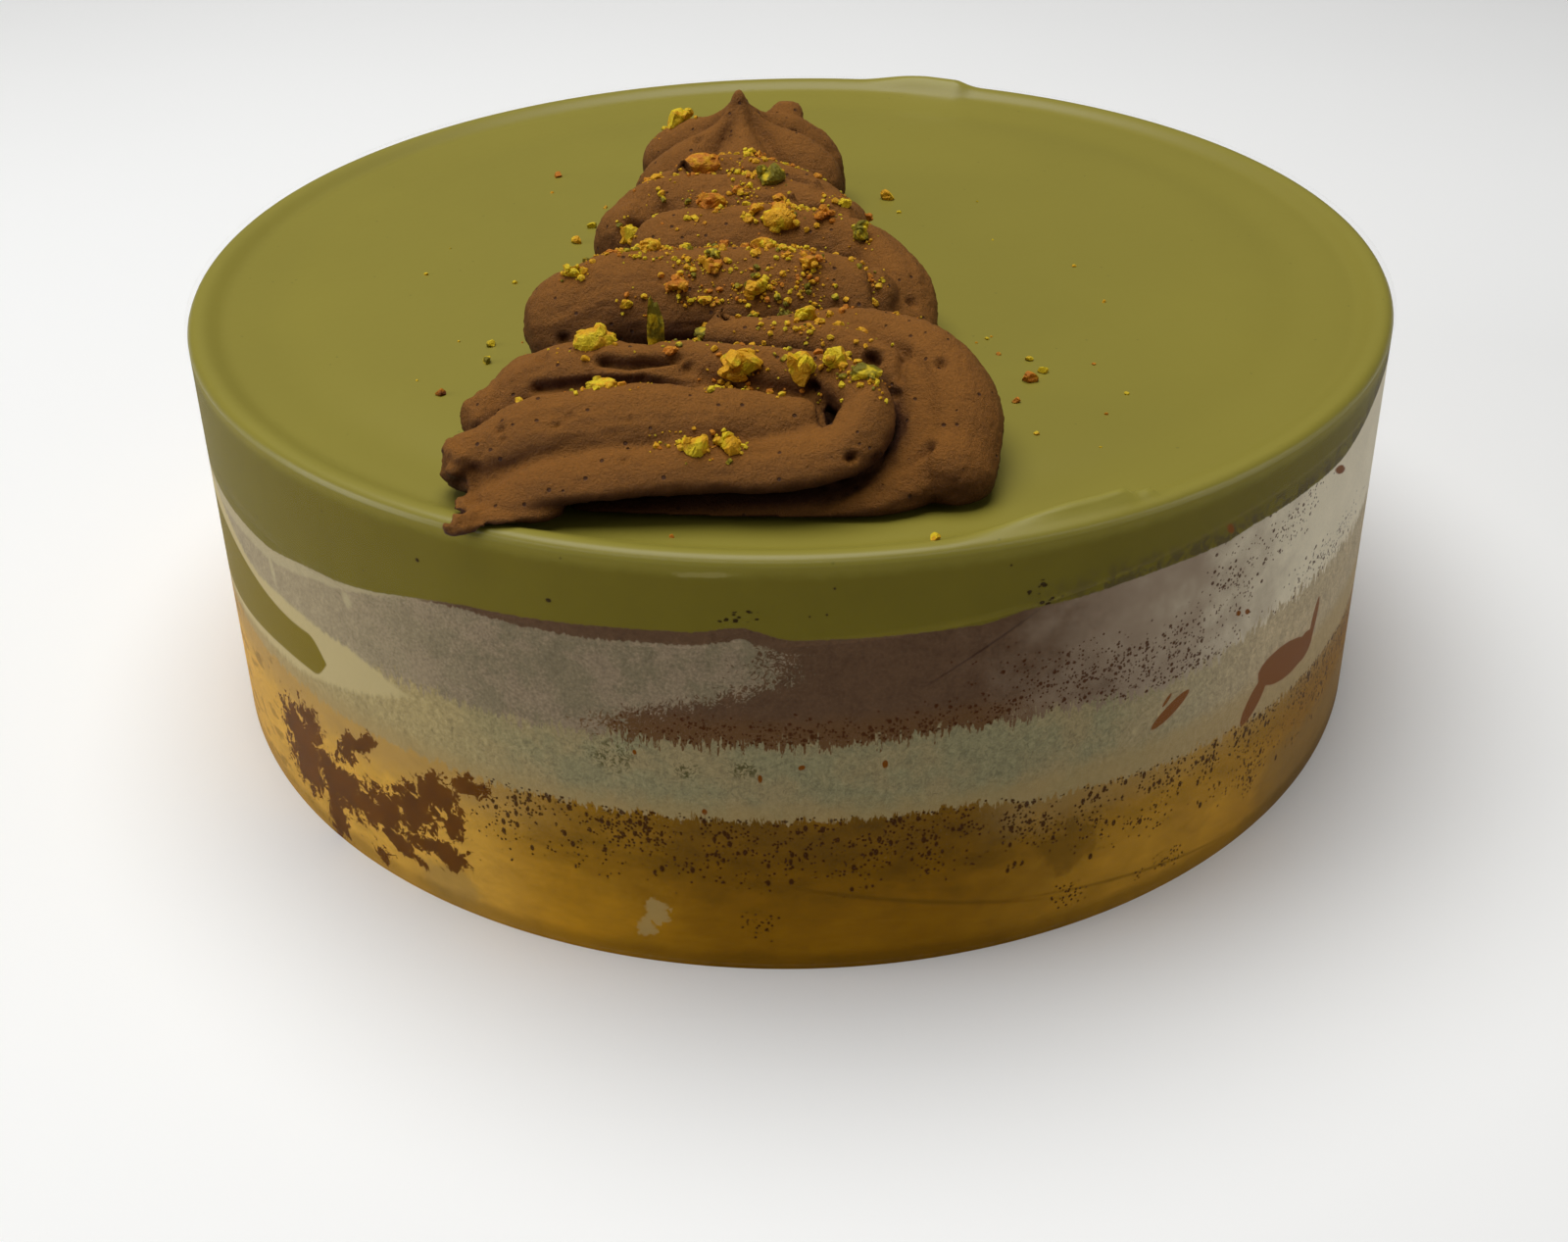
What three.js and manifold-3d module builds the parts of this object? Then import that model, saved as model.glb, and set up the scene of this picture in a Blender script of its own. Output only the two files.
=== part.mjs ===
// Chocolate pistachio mousse cake in a clear collar strip. Millimetres, +Z up, origin under the centre.
// From the bottom: sponge, cream, chocolate mousse, pistachio glaze, and on top a zigzag rope of
// piped chocolate cream that starts in a peaked dollop, with chopped pistachios on it.
import * as THREE from 'three';
import { mergeVertices } from 'three/addons/utils/BufferGeometryUtils.js';
import Module from 'manifold-3d';

const wasm = await Module();
wasm.setup();

// ---- Driving dimensions, mm and degrees ----

const COLLAR_HEIGHT = 51.4;
const COLLAR_BASE_RADIUS = 77.0;
const COLLAR_TOP_RADIUS = 75.2;
const FILM = 0.4;
const GAP = 0.3;
const COLLAR_LIFT = 0.6;
const COLLAR_SEAM = 132;
const COLLAR_OVERLAP = 16;
const OVERLAP_RISE = 30;

// Heights where the layers meet at the collar. The glaze reaches further down on one side than on
// the other, and every edge is a little wavy.
const SPONGE_TOP = 20;
const CREAM_TOP = 30;
const GLAZE_EDGE = 42.2;
const GLAZE_TILT = 4.8;
const EDGE_WAVE = 0.6;
const LONG_WAVES = 3;
const SHORT_WAVES = 7;
const SHORT_SHARE = 0.7;
const SPONGE_PHASE = 0.6;
const CREAM_PHASE = 2.1;
const GLAZE_PHASE = 3.9;
const WAVE_START = 0.7;
const SEGMENTS = 72;
const INNER_INSET = 20;

const GLAZE_LEVEL = 50.3;
const LIP_HEIGHT = 0.8;
const LIP_WIDTH = 4.5;
const LIP_CREST_INSET = 0.5;
const TROUGH_DEPTH = 0.4;
const TROUGH_INSET = 11;
const TROUGH_WIDTH = 4;
const GLAZE_INSETS = [0.9, 2.2, 3.6, 5.5, 8.5, 11, 14, INNER_INSET];
// Smears left by the spatula near the rim: x, y of both ends, height and half width.
const SMEARS = [
  [19, -70, 34, -64, 0.8, 1.4],
  [18, 72, 27, 67, 1.2, 2.2],
];

// The piped rope leaves round ribs with creases between them. Each strand is one rib or one lying
// fold of the rope, as rows of centre x, y, height above the glaze, half width and half height.
const STRANDS = {
  core: [
    [-6, 8, 1.5, 8, 6], [-7, -8, 1.5, 12, 6], [-6, -24, 1.5, 13, 6], [-6, -39, 1, 12, 3.5],
    [-7, -51, 1, 12, 6],
  ],
  stub: [[-2.5, 23.5, 9.5, 2.4, 2.2], [-0.5, 24.5, 12.2, 2, 2]],
  foldTop: [
    [-15, 3, 6, 4.5, 4.5], [-9, 2.5, 8.2, 4.5, 4.5], [-3, 1, 8.4, 4.5, 4.2],
    [2, -1, 7.5, 4.2, 4.2], [6, -5, 6, 4, 4],
  ],
  foldFourth: [
    [-19, -6, 4.4, 5.4, 5.6], [-16, -3.5, 6.4, 5.6, 5.6], [-9, -4, 7.2, 5.8, 5.5],
    [-1, -5.5, 7, 5.8, 5.5], [5, -9, 6.4, 5.2, 5.2],
  ],
  foldThirdUpper: [
    [11.8, -29, 2.2, 5, 4.5], [12.2, -24, 4, 5, 5], [10, -18.5, 5.5, 5.2, 5.2],
    [4, -15, 6.6, 5.4, 5.4], [-5, -14.5, 7, 5.6, 5.4], [-14, -13.5, 6.2, 5.6, 5.4],
  ],
  foldThird: [
    [-24, -29.5, 4.4, 6.6, 6.6], [-19, -28.5, 5.8, 7.2, 6.8], [-10, -28, 6, 7.4, 6.4],
    [0, -28, 6, 7, 6.4], [7, -29, 5.4, 6, 6],
  ],
  foldSecond: [
    [15.5, -60, 1.5, 5, 4.6], [16.5, -55, 3.6, 5.2, 5.2], [15.5, -49, 5.2, 5.4, 5.4],
    [11, -43.5, 6, 5.4, 5.2], [4, -41.5, 6.2, 5, 4.8], [-3, -41.5, 5.8, 4, 4.4],
  ],
  foldUnder: [[-26, -45.5, 3.6, 5.6, 5], [-18, -44, 4.4, 5.4, 5], [-10, -44, 3.6, 5, 5]],
  footRib: [
    [-29, -63.4, 0.2, 2.4, 2.2], [-22, -63.2, 0.3, 2.8, 2.2], [-8, -63.2, 0.3, 3.2, 2.2],
    [3, -63.8, 0.5, 3.2, 2.4], [11, -63.2, 1, 3.6, 3], [15, -59.5, 2, 3.6, 3.4],
    [14.8, -53.5, 4, 3.5, 3.4], [10.5, -48, 6.8, 3.3, 3.2], [3, -45, 8.2, 3, 3],
    [-7, -43, 8.4, 2.6, 2.6],
  ],
  crestRib: [
    [-31, -65.2, 1.6, 2.6, 1.4], [-28, -64.8, 2.8, 3, 2.2], [-22, -64, 4.4, 3.2, 2.8],
    [-12, -63.4, 5, 3.3, 2.9], [0, -63.8, 5, 3.3, 2.9], [5.6, -63, 5.5, 3.3, 3.1],
    [8.2, -59.5, 6.6, 3.3, 3.4], [7.2, -55, 7.5, 3.3, 3.4], [2.5, -52, 8.3, 3.4, 3.4],
    [-6, -50, 8.5, 3.4, 3.4], [-13, -48.5, 8.2, 3, 3],
  ],
  topRib: [
    [-31.5, -57.5, 3.6, 3.6, 3.4], [-27, -56.5, 5.4, 4.2, 3.8], [-18, -56, 6.2, 4.2, 3.8],
    [-8, -56.5, 6.2, 4.2, 3.8], [2.5, -58, 5, 3, 3.2],
  ],
  backRib: [
    [-31, -50.5, 3, 4, 3.8], [-27, -49.2, 5.4, 4.4, 4.2], [-20, -49.5, 7.2, 4.4, 4.2],
    [-13, -50.5, 7.2, 4, 3.8], [-8, -51.5, 6, 3.4, 3.4],
  ],
  tornEnd: [[-27, -65.4, 1.4, 3.2, 1.2], [-31, -66.4, 0.8, 2.4, 0.9], [-33, -68, 0.5, 1.3, 0.6]],
};
const SIDES = 10;
const RINGS_PER_ROW = 2;
// A strand's end is rounded by rings moved out by a share of its width and drawn in to a share.
const END_RINGS = [[0.95, 0.35], [0.6, 0.8]];
// In a tight turn the inner side stays this share of the way to the middle of the turn. The turn is
// measured over this many rows each way, and its heading over the shorter step.
const INNER_REACH = 0.9;
const TURN_SPAN = 0.4;
const HEADING_STEP = 0.1;
const SHORTEST_TURN = 0.1;
const LEAST_CURVATURE = 1e-4;
const REST_MARGIN = 0.15;

// The dollop is a drop with six ribs that draw together to a thin peak.
const DOLLOP_CENTRE = [-6.2, 16.5];
const DOLLOP_PROFILE = [
  [0, 14.4], [3, 15.1], [6, 15], [8.2, 13.8], [10, 11.6],
  [11.4, 8.8], [12.4, 5.8], [13.4, 3.4], [14.8, 1.5], [16.4, 0.35],
];
const RIBS = 6;
const RIB_DEPTH = 0.13;
const RIB_ROUND = 0.75;
const RIB_START = -40;
const RIB_TWIST = 18;
const POINTS_PER_RIB = 4;

// Torn points of cream: depth under the tip and share of the width there, then for each point x, y,
// the height of its tip and its half width at the foot.
const PEAK_LEVELS = [[7, 1], [3, 0.62], [0, 0.12]];
const PEAK_FLATNESS = 0.7;
const PEAKS = [[-7, -42.5, 12.2, 3], [-13, -0.5, 14, 3.5], [3.5, -7, 13.2, 2.6], [0.5, -12.5, 13.6, 2.8]];

// Chopped pistachios on the piping. The largest are placed one by one: x, y, length, width, height
// and turn.
const LARGE_CHIPS = [
  [-20, -49, 4.2, 3, 2.8, 10], [-5, -53, 4.6, 3, 2.4, -12], [-15, -43, 1.8, 1.5, 7, 0],
  [1.3, -54.5, 2.2, 2.4, 3, 20], [-18.7, -55.5, 2.9, 1.8, 1.5, 5], [-9.2, -63.5, 2.2, 2, 2, 20],
  [-6, -63.5, 2, 1.8, 2, 70], [4.8, -54, 2.6, 2, 1.8, 0], [7.6, -56.5, 2.8, 1.6, 1.6, -10],
  [-10.5, 1, 5, 3.4, 3.2, 5], [-1.8, -5.5, 2.8, 2.6, 2.6, 40], [-1, -17, 3.5, 2.4, 2.2, -20],
  [-9, -13, 3, 2.4, 2.2, 10], [-14.5, 21, 3.3, 2.8, 2.8, 30], [-11.5, 23.5, 2.8, 2.2, 2.2, -20],
  [8.7, -19, 1.8, 2.4, 1.8, 0], [-24, -30, 2.2, 1.5, 1.5, 20], [-19.3, -10, 2.2, 2, 2, 0],
  [1.7, -43.5, 2, 1.8, 1.8, 30], [-3.8, -48, 2, 2, 2, 0], [-3.8, -33, 2.4, 1.7, 1.7, 15],
  [-12.4, -33, 2.4, 1.6, 1.6, -5],
];
// The rest are a seeded scatter. Each range is the least value and what the draw may add.
const CHIP_SEED = 11;
const CHIP_COUNT = 42;
const CHIP_SIZE = 2;
const CHIP_LONG = [0.6, 0.8];
const CHIP_WIDE = [0.6, 0.3];
const CHIP_HIGH = [0.5, 0.3];
const CHIP_ROUGHNESS = 0.5;
const CHIP_LIFT = 0.2;
const CHIP_LOWEST = 54;
const CHIP_BACK = 6;
const CHIP_FRONT = -56;
const CHIP_CROWDING = 1.3;
const CHIP_MIDDLE = -5;
const CHIP_SPREAD = 15;

// Crumbs on the glaze: x, y and size of the ones that stand out, then a seeded scatter of small ones.
const GLAZE_CRUMBS = [
  [13.9, 21.5, 2], [26.8, -35.9, 1.8], [28.6, -34, 1.2], [27.4, -30.8, 1], [24.7, -41.3, 1],
  [13.6, -71, 1.2], [-35.2, -24.4, 1.2], [-35, -29, 1.3], [-26.5, 12.5, 1.3], [-28, 7.2, 1.4],
  [-33.1, 32.6, 1.3], [-39.1, -37, 1.2],
];
const CRUMB_SEED = 5;
const CRUMB_COUNT = 14;
const CRUMB_SIZE = 0.9;
const CRUMB_CENTRE = [-6, -20];
const CRUMB_NEAR = 26;
const CRUMB_FAR = 42;
const CRUMB_FLATNESS = [1, 0.8, 0.7];
const CLEARANCE_TESTS = 8;

const SPONGE_COLOR = 0xb0823c;
const CREAM_COLOR = 0xd8d2a8;
const CHOCOLATE_COLOR = 0x6e4a3e;
const GLAZE_COLOR = 0x8a843a;
const PIPING_COLOR = 0x6b3f2a;
const FILM_COLOR = 0xf4f4f0;

// Slivers shorter than this are merged away after the booleans.
const SLIVER = 0.03;
const MERGE = 1e-4;

// ---- Small helpers ----

const radians = (degrees) => degrees * Math.PI / 180;

function smoothstep(from, to, value) {
  const t = Math.min(Math.max((value - from) / (to - from), 0), 1);
  return t * t * (3 - 2 * t);
}

// A small generator with a seed, so that each build gives the same draw.
function seededRandom(seed) {
  let state = seed;
  return () => {
    state = (state * 1664525 + 1013904223) % 4294967296;
    return state / 4294967296;
  };
}

// Catmull-Rom value of one column of a table at row t, which may lie between rows.
function between(rows, column, t) {
  const last = rows.length - 1;
  const clamped = Math.min(Math.max(t, 0), last);
  const i = Math.min(Math.floor(clamped), last - 1);
  const f = clamped - i;
  const at = (k) => rows[Math.min(Math.max(k, 0), last)][column];
  const [p0, p1, p2, p3] = [at(i - 1), at(i), at(i + 1), at(i + 2)];
  return 0.5 * (2 * p1 + (p2 - p0) * f
    + (2 * p0 - 5 * p1 + 4 * p2 - p3) * f * f
    + (3 * p1 - p0 - 3 * p2 + p3) * f * f * f);
}

// ---- Meshes and solids ----

// Closed body through a stack of rings with equal point counts; ends are fans round their middles.
function loftRings(rings) {
  const sides = rings[0].length;
  const positions = rings.flat(2);
  const middles = [rings[0], rings.at(-1)].map((ring) => [0, 1, 2].map(
    (axis) => ring.reduce((sum, point) => sum + point[axis], 0) / sides));
  positions.push(...middles.flat());
  const faces = [];
  const first = rings.length * sides;
  for (let k = 0; k < sides; k += 1) {
    const next = (k + 1) % sides;
    faces.push(first, next, k);
    faces.push(first + 1, (rings.length - 1) * sides + k, (rings.length - 1) * sides + next);
    for (let r = 0; r < rings.length - 1; r += 1) {
      const low = r * sides;
      const high = low + sides;
      faces.push(low + k, low + next, high + next, low + k, high + next, high + k);
    }
  }
  const geometry = new THREE.BufferGeometry();
  geometry.setAttribute('position', new THREE.Float32BufferAttribute(positions, 3));
  geometry.setIndex(faces);
  return geometry;
}

function bareGeometry(geometry) {
  const bare = geometry.clone();
  bare.deleteAttribute('normal');
  bare.deleteAttribute('uv');
  return bare;
}

function toSolid(geometry) {
  const merged = mergeVertices(bareGeometry(geometry), MERGE);
  return new wasm.Manifold(new wasm.Mesh({
    numProp: 3,
    vertProperties: new Float32Array(merged.attributes.position.array),
    triVerts: new Uint32Array(merged.index.array),
  }));
}

function toGeometry(solid) {
  const mesh = solid.getMesh();
  const geometry = new THREE.BufferGeometry();
  geometry.setAttribute('position', new THREE.Float32BufferAttribute(mesh.vertProperties, 3));
  geometry.setIndex(new THREE.Uint32BufferAttribute(mesh.triVerts, 1));
  return geometry;
}

// The largest outer skin of a solid, without loose scraps, sealed hollows or slivers.
function mainBody(solid) {
  const body = solid.decompose().reduce((best, one) => (one.volume() > best.volume() ? one : best));
  return body.simplify(SLIVER);
}

function makeMesh(name, solid, color, roughness, extra = {}) {
  const geometry = toGeometry(solid);
  geometry.computeVertexNormals();
  const material = new THREE.MeshStandardMaterial({ color, roughness, metalness: 0, ...extra });
  const mesh = new THREE.Mesh(geometry, material);
  mesh.name = name;
  return mesh;
}

// ---- Piping ----

// The lowest that the piping may reach, counted from its own level: it lies on the glaze's lip.
function restLevel(x, y) {
  return Math.max(glazeTop(x, y) - GLAZE_LEVEL + REST_MARGIN, 0);
}

// The limit that keeps the inner side of a turn from crossing itself, and the side that is inner.
function turnAt(rows, t) {
  const place = (s) => new THREE.Vector2(between(rows, 0, s), between(rows, 1, s));
  const heading = (s) => place(s + HEADING_STEP).sub(place(s - HEADING_STEP)).normalize();
  const before = heading(t - TURN_SPAN);
  const after = heading(t + TURN_SPAN);
  const length = Math.max(place(t + TURN_SPAN).distanceTo(place(t - TURN_SPAN)), SHORTEST_TURN);
  const curvature = Math.atan2(before.cross(after), before.dot(after)) / length;
  const limit = INNER_REACH / Math.max(Math.abs(curvature), LEAST_CURVATURE);
  return { along: heading(t), inner: Math.sign(curvature), limit };
}

// One ring across a strand at row t, moved along it by shift and drawn in to size.
function strandRing(rows, t, shift = 0, size = 1) {
  const [x, y, z, width, height] = rows[0].map((_, column) => between(rows, column, t));
  const { along, inner, limit } = turnAt(rows, t);
  const ring = [];
  for (let k = 0; k < SIDES; k += 1) {
    const angle = (k / SIDES) * 2 * Math.PI;
    let aside = width * size * Math.cos(angle);
    if (aside * inner > 0) aside = inner * limit * Math.tanh(Math.abs(aside) / limit);
    const px = x + along.x * shift - along.y * aside;
    const py = y + along.y * shift + along.x * aside;
    ring.push([px, py, Math.max(z + height * size * Math.sin(angle), restLevel(px, py))]);
  }
  return ring;
}

// A strand is a chain of short links, which may lie over each other, with rounded ends.
function makeStrand(rows) {
  const last = rows.length - 1;
  const links = [];
  for (let row = 0; row < last; row += 1) {
    const rings = [];
    for (let k = 0; k <= RINGS_PER_ROW; k += 1) rings.push(strandRing(rows, row + k / RINGS_PER_ROW));
    if (row === 0) {
      const start = END_RINGS.map(([out, size]) => strandRing(rows, 0, -out * rows[0][3], size));
      rings.unshift(...start);
    }
    if (row === last - 1) {
      const end = END_RINGS.map(([out, size]) => strandRing(rows, last, out * rows[last][3], size));
      rings.push(...end.reverse());
    }
    links.push(toSolid(loftRings(rings)));
  }
  return links;
}

function makeDollop() {
  const sides = RIBS * POINTS_PER_RIB;
  const top = DOLLOP_PROFILE.at(-1)[0];
  const [x, y] = DOLLOP_CENTRE;
  const rings = DOLLOP_PROFILE.map(([z, radius]) => {
    const ring = [];
    for (let k = 0; k < sides; k += 1) {
      const fromCrest = (k / sides) * 2 * Math.PI;
      const rib = Math.abs(Math.cos(fromCrest * RIBS / 2)) ** RIB_ROUND;
      const out = radius * (1 - RIB_DEPTH * (1 - rib));
      const angle = radians(RIB_START + RIB_TWIST * z / top) + fromCrest;
      ring.push([x + out * Math.cos(angle), y + out * Math.sin(angle), z]);
    }
    return ring;
  });
  return toSolid(loftRings(rings));
}

// A torn point is a short cone, flattened a little, that stands out of the fold under it.
function makePeak([x, y, tip, width]) {
  const rings = PEAK_LEVELS.map(([under, size]) => {
    const ring = [];
    for (let k = 0; k < SIDES; k += 1) {
      const angle = (k / SIDES) * 2 * Math.PI;
      const out = width * size;
      ring.push([x + out * Math.cos(angle), y + PEAK_FLATNESS * out * Math.sin(angle), tip - under]);
    }
    return ring;
  });
  return toSolid(loftRings(rings));
}

// ---- Chopped nuts and crumbs ----

// A chip is an icosahedron stretched to its length, width and height, with corners pulled in or out.
function makeChip(place, [long, wide, high], yaw, random) {
  const chip = mergeVertices(bareGeometry(new THREE.IcosahedronGeometry(0.5, 0)), MERGE);
  const corners = chip.attributes.position;
  for (let k = 0; k < corners.count; k += 1) {
    const pull = 1 + CHIP_ROUGHNESS * (random() - 0.5);
    corners.setXYZ(k, corners.getX(k) * pull, corners.getY(k) * pull, corners.getZ(k) * pull);
  }
  chip.scale(long, wide, high);
  chip.rotateZ(radians(yaw));
  chip.translate(...place);
  return toSolid(chip);
}

// The height of the first surface met from above, or null where there is none.
function heightBelow(mesh, x, y) {
  const above = new THREE.Vector3(x, y, 2 * COLLAR_HEIGHT);
  const caster = new THREE.Raycaster(above, new THREE.Vector3(0, 0, -1));
  const hit = caster.intersectObject(mesh)[0];
  return hit ? hit.point.z : null;
}

function isClearOf(mesh, x, y, distance) {
  for (let k = 0; k < CLEARANCE_TESTS; k += 1) {
    const angle = (k / CLEARANCE_TESTS) * 2 * Math.PI;
    const px = x + distance * Math.cos(angle);
    const py = y + distance * Math.sin(angle);
    if (heightBelow(mesh, px, py) !== null) return false;
  }
  return true;
}

// Chips on the piping: the placed ones, then a scatter with most along the middle and at the back.
function scatterOnPiping(mesh) {
  const random = seededRandom(CHIP_SEED);
  const drawn = ([least, added]) => least + added * random();
  const chips = [];
  const put = (x, y, size, yaw) => {
    const z = heightBelow(mesh, x, y);
    if (z === null || z < CHIP_LOWEST) return;
    chips.push(makeChip([x, y, z + CHIP_LIFT * size[2]], size, yaw, random));
  };
  LARGE_CHIPS.forEach(([x, y, long, wide, high, yaw]) => put(x, y, [long, wide, high], yaw));
  for (let n = 0; n < CHIP_COUNT; n += 1) {
    const y = CHIP_BACK + (CHIP_FRONT - CHIP_BACK) * random() ** CHIP_CROWDING;
    const x = CHIP_MIDDLE + CHIP_SPREAD * (random() + random() + random() - 1.5);
    const long = CHIP_SIZE * drawn(CHIP_LONG);
    const wide = long * drawn(CHIP_WIDE);
    const high = long * drawn(CHIP_HIGH);
    put(x, y, [long, wide, high], 360 * random());
  }
  return chips;
}

// Crumbs on the glaze, none of them under or against the piping.
function scatterOnGlaze(pipingMesh) {
  const random = seededRandom(CRUMB_SEED);
  const crumbs = [];
  const put = (x, y, size) => {
    if (!isClearOf(pipingMesh, x, y, size + 1)) return;
    const sizes = CRUMB_FLATNESS.map((share) => size * share);
    crumbs.push(makeChip([x, y, glazeTop(x, y)], sizes, 360 * random(), random));
  };
  GLAZE_CRUMBS.forEach(([x, y, size]) => put(x, y, size));
  const [middleX, middleY] = CRUMB_CENTRE;
  for (let n = 0; n < CRUMB_COUNT; n += 1) {
    const angle = 2 * Math.PI * random();
    const out = CRUMB_NEAR + (CRUMB_FAR - CRUMB_NEAR) * random();
    put(middleX + out * Math.cos(angle), middleY + out * Math.sin(angle), CRUMB_SIZE);
  }
  return crumbs;
}

// ---- Cake layers and collar ----

const cakeRadius = (z) => COLLAR_BASE_RADIUS - FILM - GAP
  - (COLLAR_BASE_RADIUS - COLLAR_TOP_RADIUS) * z / COLLAR_HEIGHT;

// Every boundary between layers is level inside and wavy where it shows through the collar.
function boundary(level, tilt, phase) {
  return (x, y) => {
    const angle = Math.atan2(y, x);
    const shown = smoothstep(WAVE_START, 1, Math.hypot(x, y) / cakeRadius(level));
    const long = Math.sin(LONG_WAVES * angle + phase);
    const short = SHORT_SHARE * Math.sin(SHORT_WAVES * angle + 2 * phase);
    return level + shown * (tilt * Math.cos(angle) + EDGE_WAVE * (long + short));
  };
}

const floorLevel = () => 0;
const spongeTop = boundary(SPONGE_TOP, 0, SPONGE_PHASE);
const creamTop = boundary(CREAM_TOP, 0, CREAM_PHASE);
const glazeUnderside = boundary(GLAZE_EDGE, GLAZE_TILT, GLAZE_PHASE);

// Height of the glaze: level, a soft trough, a lip against the film, and the spatula's smears.
function glazeTop(x, y) {
  const out = Math.hypot(x, y);
  const rim = cakeRadius(GLAZE_LEVEL);
  const lip = LIP_HEIGHT * smoothstep(rim - LIP_WIDTH, rim - LIP_CREST_INSET, out);
  const trough = TROUGH_DEPTH * Math.exp(-(((out - rim + TROUGH_INSET) / TROUGH_WIDTH) ** 2));
  let smear = 0;
  for (const [x0, y0, x1, y1, height, width] of SMEARS) {
    const start = new THREE.Vector2(x0, y0);
    const run = new THREE.Vector2(x1, y1).sub(start);
    const t = Math.min(Math.max(new THREE.Vector2(x, y).sub(start).dot(run) / run.lengthSq(), 0), 1);
    const away = start.addScaledVector(run, t).distanceTo(new THREE.Vector2(x, y));
    smear = Math.max(smear, height * Math.exp(-((away / width) ** 2)));
  }
  return GLAZE_LEVEL + lip - trough + smear;
}

// A ring on a boundary, inset from the rim. The rim's radius follows the taper of the cake.
function ringAt(height, inset, lift) {
  const ring = [];
  for (let k = 0; k < SEGMENTS; k += 1) {
    const angle = (k / SEGMENTS) * 2 * Math.PI;
    const heightAt = (out) => height(out * Math.cos(angle), out * Math.sin(angle));
    const out = cakeRadius(heightAt(cakeRadius(COLLAR_HEIGHT))) - inset;
    ring.push([out * Math.cos(angle), out * Math.sin(angle), heightAt(out) + lift]);
  }
  return ring;
}

// A layer fills the space between two boundaries, half a gap short of each.
function layerSolid(under, over, insets = [INNER_INSET], overLift = -GAP / 2) {
  const underLift = under === floorLevel ? 0 : GAP / 2;
  const below = [INNER_INSET, 0].map((inset) => ringAt(under, inset, underLift));
  const above = [0, ...insets].map((inset) => ringAt(over, inset, overLift));
  return toSolid(loftRings([...below, ...above]));
}

// The collar is one strip of film whose last stretch passes outside its start.
function makeCollar() {
  const steps = Math.ceil(SEGMENTS * (1 + COLLAR_OVERLAP / 360));
  const rings = [];
  for (let k = 0; k <= steps; k += 1) {
    const turned = (360 + COLLAR_OVERLAP) * k / steps;
    const angle = radians(COLLAR_SEAM + turned);
    const passing = (FILM + GAP) * smoothstep(360 - OVERLAP_RISE, 360, turned);
    const corner = (z, thickness) => {
      const out = cakeRadius(z) + GAP + passing + thickness;
      return [out * Math.cos(angle), out * Math.sin(angle), z];
    };
    const innerFace = [corner(COLLAR_LIFT, 0), corner(COLLAR_HEIGHT, 0)];
    const outerFace = [corner(COLLAR_HEIGHT, FILM), corner(COLLAR_LIFT, FILM)];
    rings.push([...innerFace, ...outerFace]);
  }
  return toSolid(loftRings(rings));
}

// ---- The parts, from the bottom up ----

const bareRope = wasm.Manifold.union([
  ...Object.values(STRANDS).flatMap(makeStrand),
  ...PEAKS.map(makePeak),
  makeDollop(),
]).translate(0, 0, GLAZE_LEVEL + GAP);
const bareMesh = new THREE.Mesh(toGeometry(bareRope));
bareMesh.material.side = THREE.DoubleSide;
const piping = mainBody(wasm.Manifold.union([bareRope, ...scatterOnPiping(bareMesh)]));
const bareGlaze = layerSolid(glazeUnderside, glazeTop, GLAZE_INSETS, 0);
const glaze = mainBody(wasm.Manifold.union([bareGlaze, ...scatterOnGlaze(bareMesh)]));

const group = new THREE.Group();
group.add(makeMesh('sponge_base', layerSolid(floorLevel, spongeTop), SPONGE_COLOR, 0.9));
group.add(makeMesh('cream_layer', layerSolid(spongeTop, creamTop), CREAM_COLOR, 0.6));
group.add(makeMesh('chocolate_layer', layerSolid(creamTop, glazeUnderside), CHOCOLATE_COLOR, 0.6));
group.add(makeMesh('pistachio_glaze', glaze, GLAZE_COLOR, 0.35));
group.add(makeMesh('chocolate_piping', piping, PIPING_COLOR, 0.7));
group.add(makeMesh('clear_collar', makeCollar(), FILM_COLOR, 0.1, { transparent: true, opacity: 0.25 }));
export default group;
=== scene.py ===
"""Round pistachio and chocolate cake in a clear film collar, with piped chocolate cream and nuts.

The tables and formulas are in millimetres, +Z up, with the origin under the middle of the cake.
They become metres where a mesh is made. Angles round the side are degrees, 0 in front and positive
to the right.
"""

import math

import bpy
import numpy as np
from mathutils import Matrix, Vector, noise
from mathutils.bvhtree import BVHTree


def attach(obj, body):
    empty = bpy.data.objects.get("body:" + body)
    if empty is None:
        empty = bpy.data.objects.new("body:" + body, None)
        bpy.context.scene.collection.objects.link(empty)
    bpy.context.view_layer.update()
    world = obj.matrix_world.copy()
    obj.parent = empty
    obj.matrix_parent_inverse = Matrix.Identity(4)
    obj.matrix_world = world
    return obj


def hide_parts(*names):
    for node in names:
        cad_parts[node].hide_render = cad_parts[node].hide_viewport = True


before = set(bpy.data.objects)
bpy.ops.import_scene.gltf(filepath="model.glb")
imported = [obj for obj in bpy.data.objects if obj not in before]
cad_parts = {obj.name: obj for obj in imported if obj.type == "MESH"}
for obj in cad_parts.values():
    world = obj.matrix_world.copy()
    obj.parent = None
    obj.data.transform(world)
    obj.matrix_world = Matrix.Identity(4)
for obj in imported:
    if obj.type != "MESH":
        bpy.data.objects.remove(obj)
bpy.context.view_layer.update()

bl_info = {
    "name": "Pistachio cake",
    "version": (1, 0, 0),
    "blender": (4, 5, 0),
    "location": "View3D > Sidebar > Cake",
    "description": "Models a layered cake with glaze, piped cream, nuts and a clear collar",
    "category": "Add Mesh",
}

MM = 0.001
FULL_TURN = 2 * math.pi

# ---- Cake layers, mm ----

COLLAR_HEIGHT = 51.4
BASE_RADIUS = 77.0
TOP_RADIUS = 75.2
GAP = 0.3
FILM_GAP = 0.1
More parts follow.
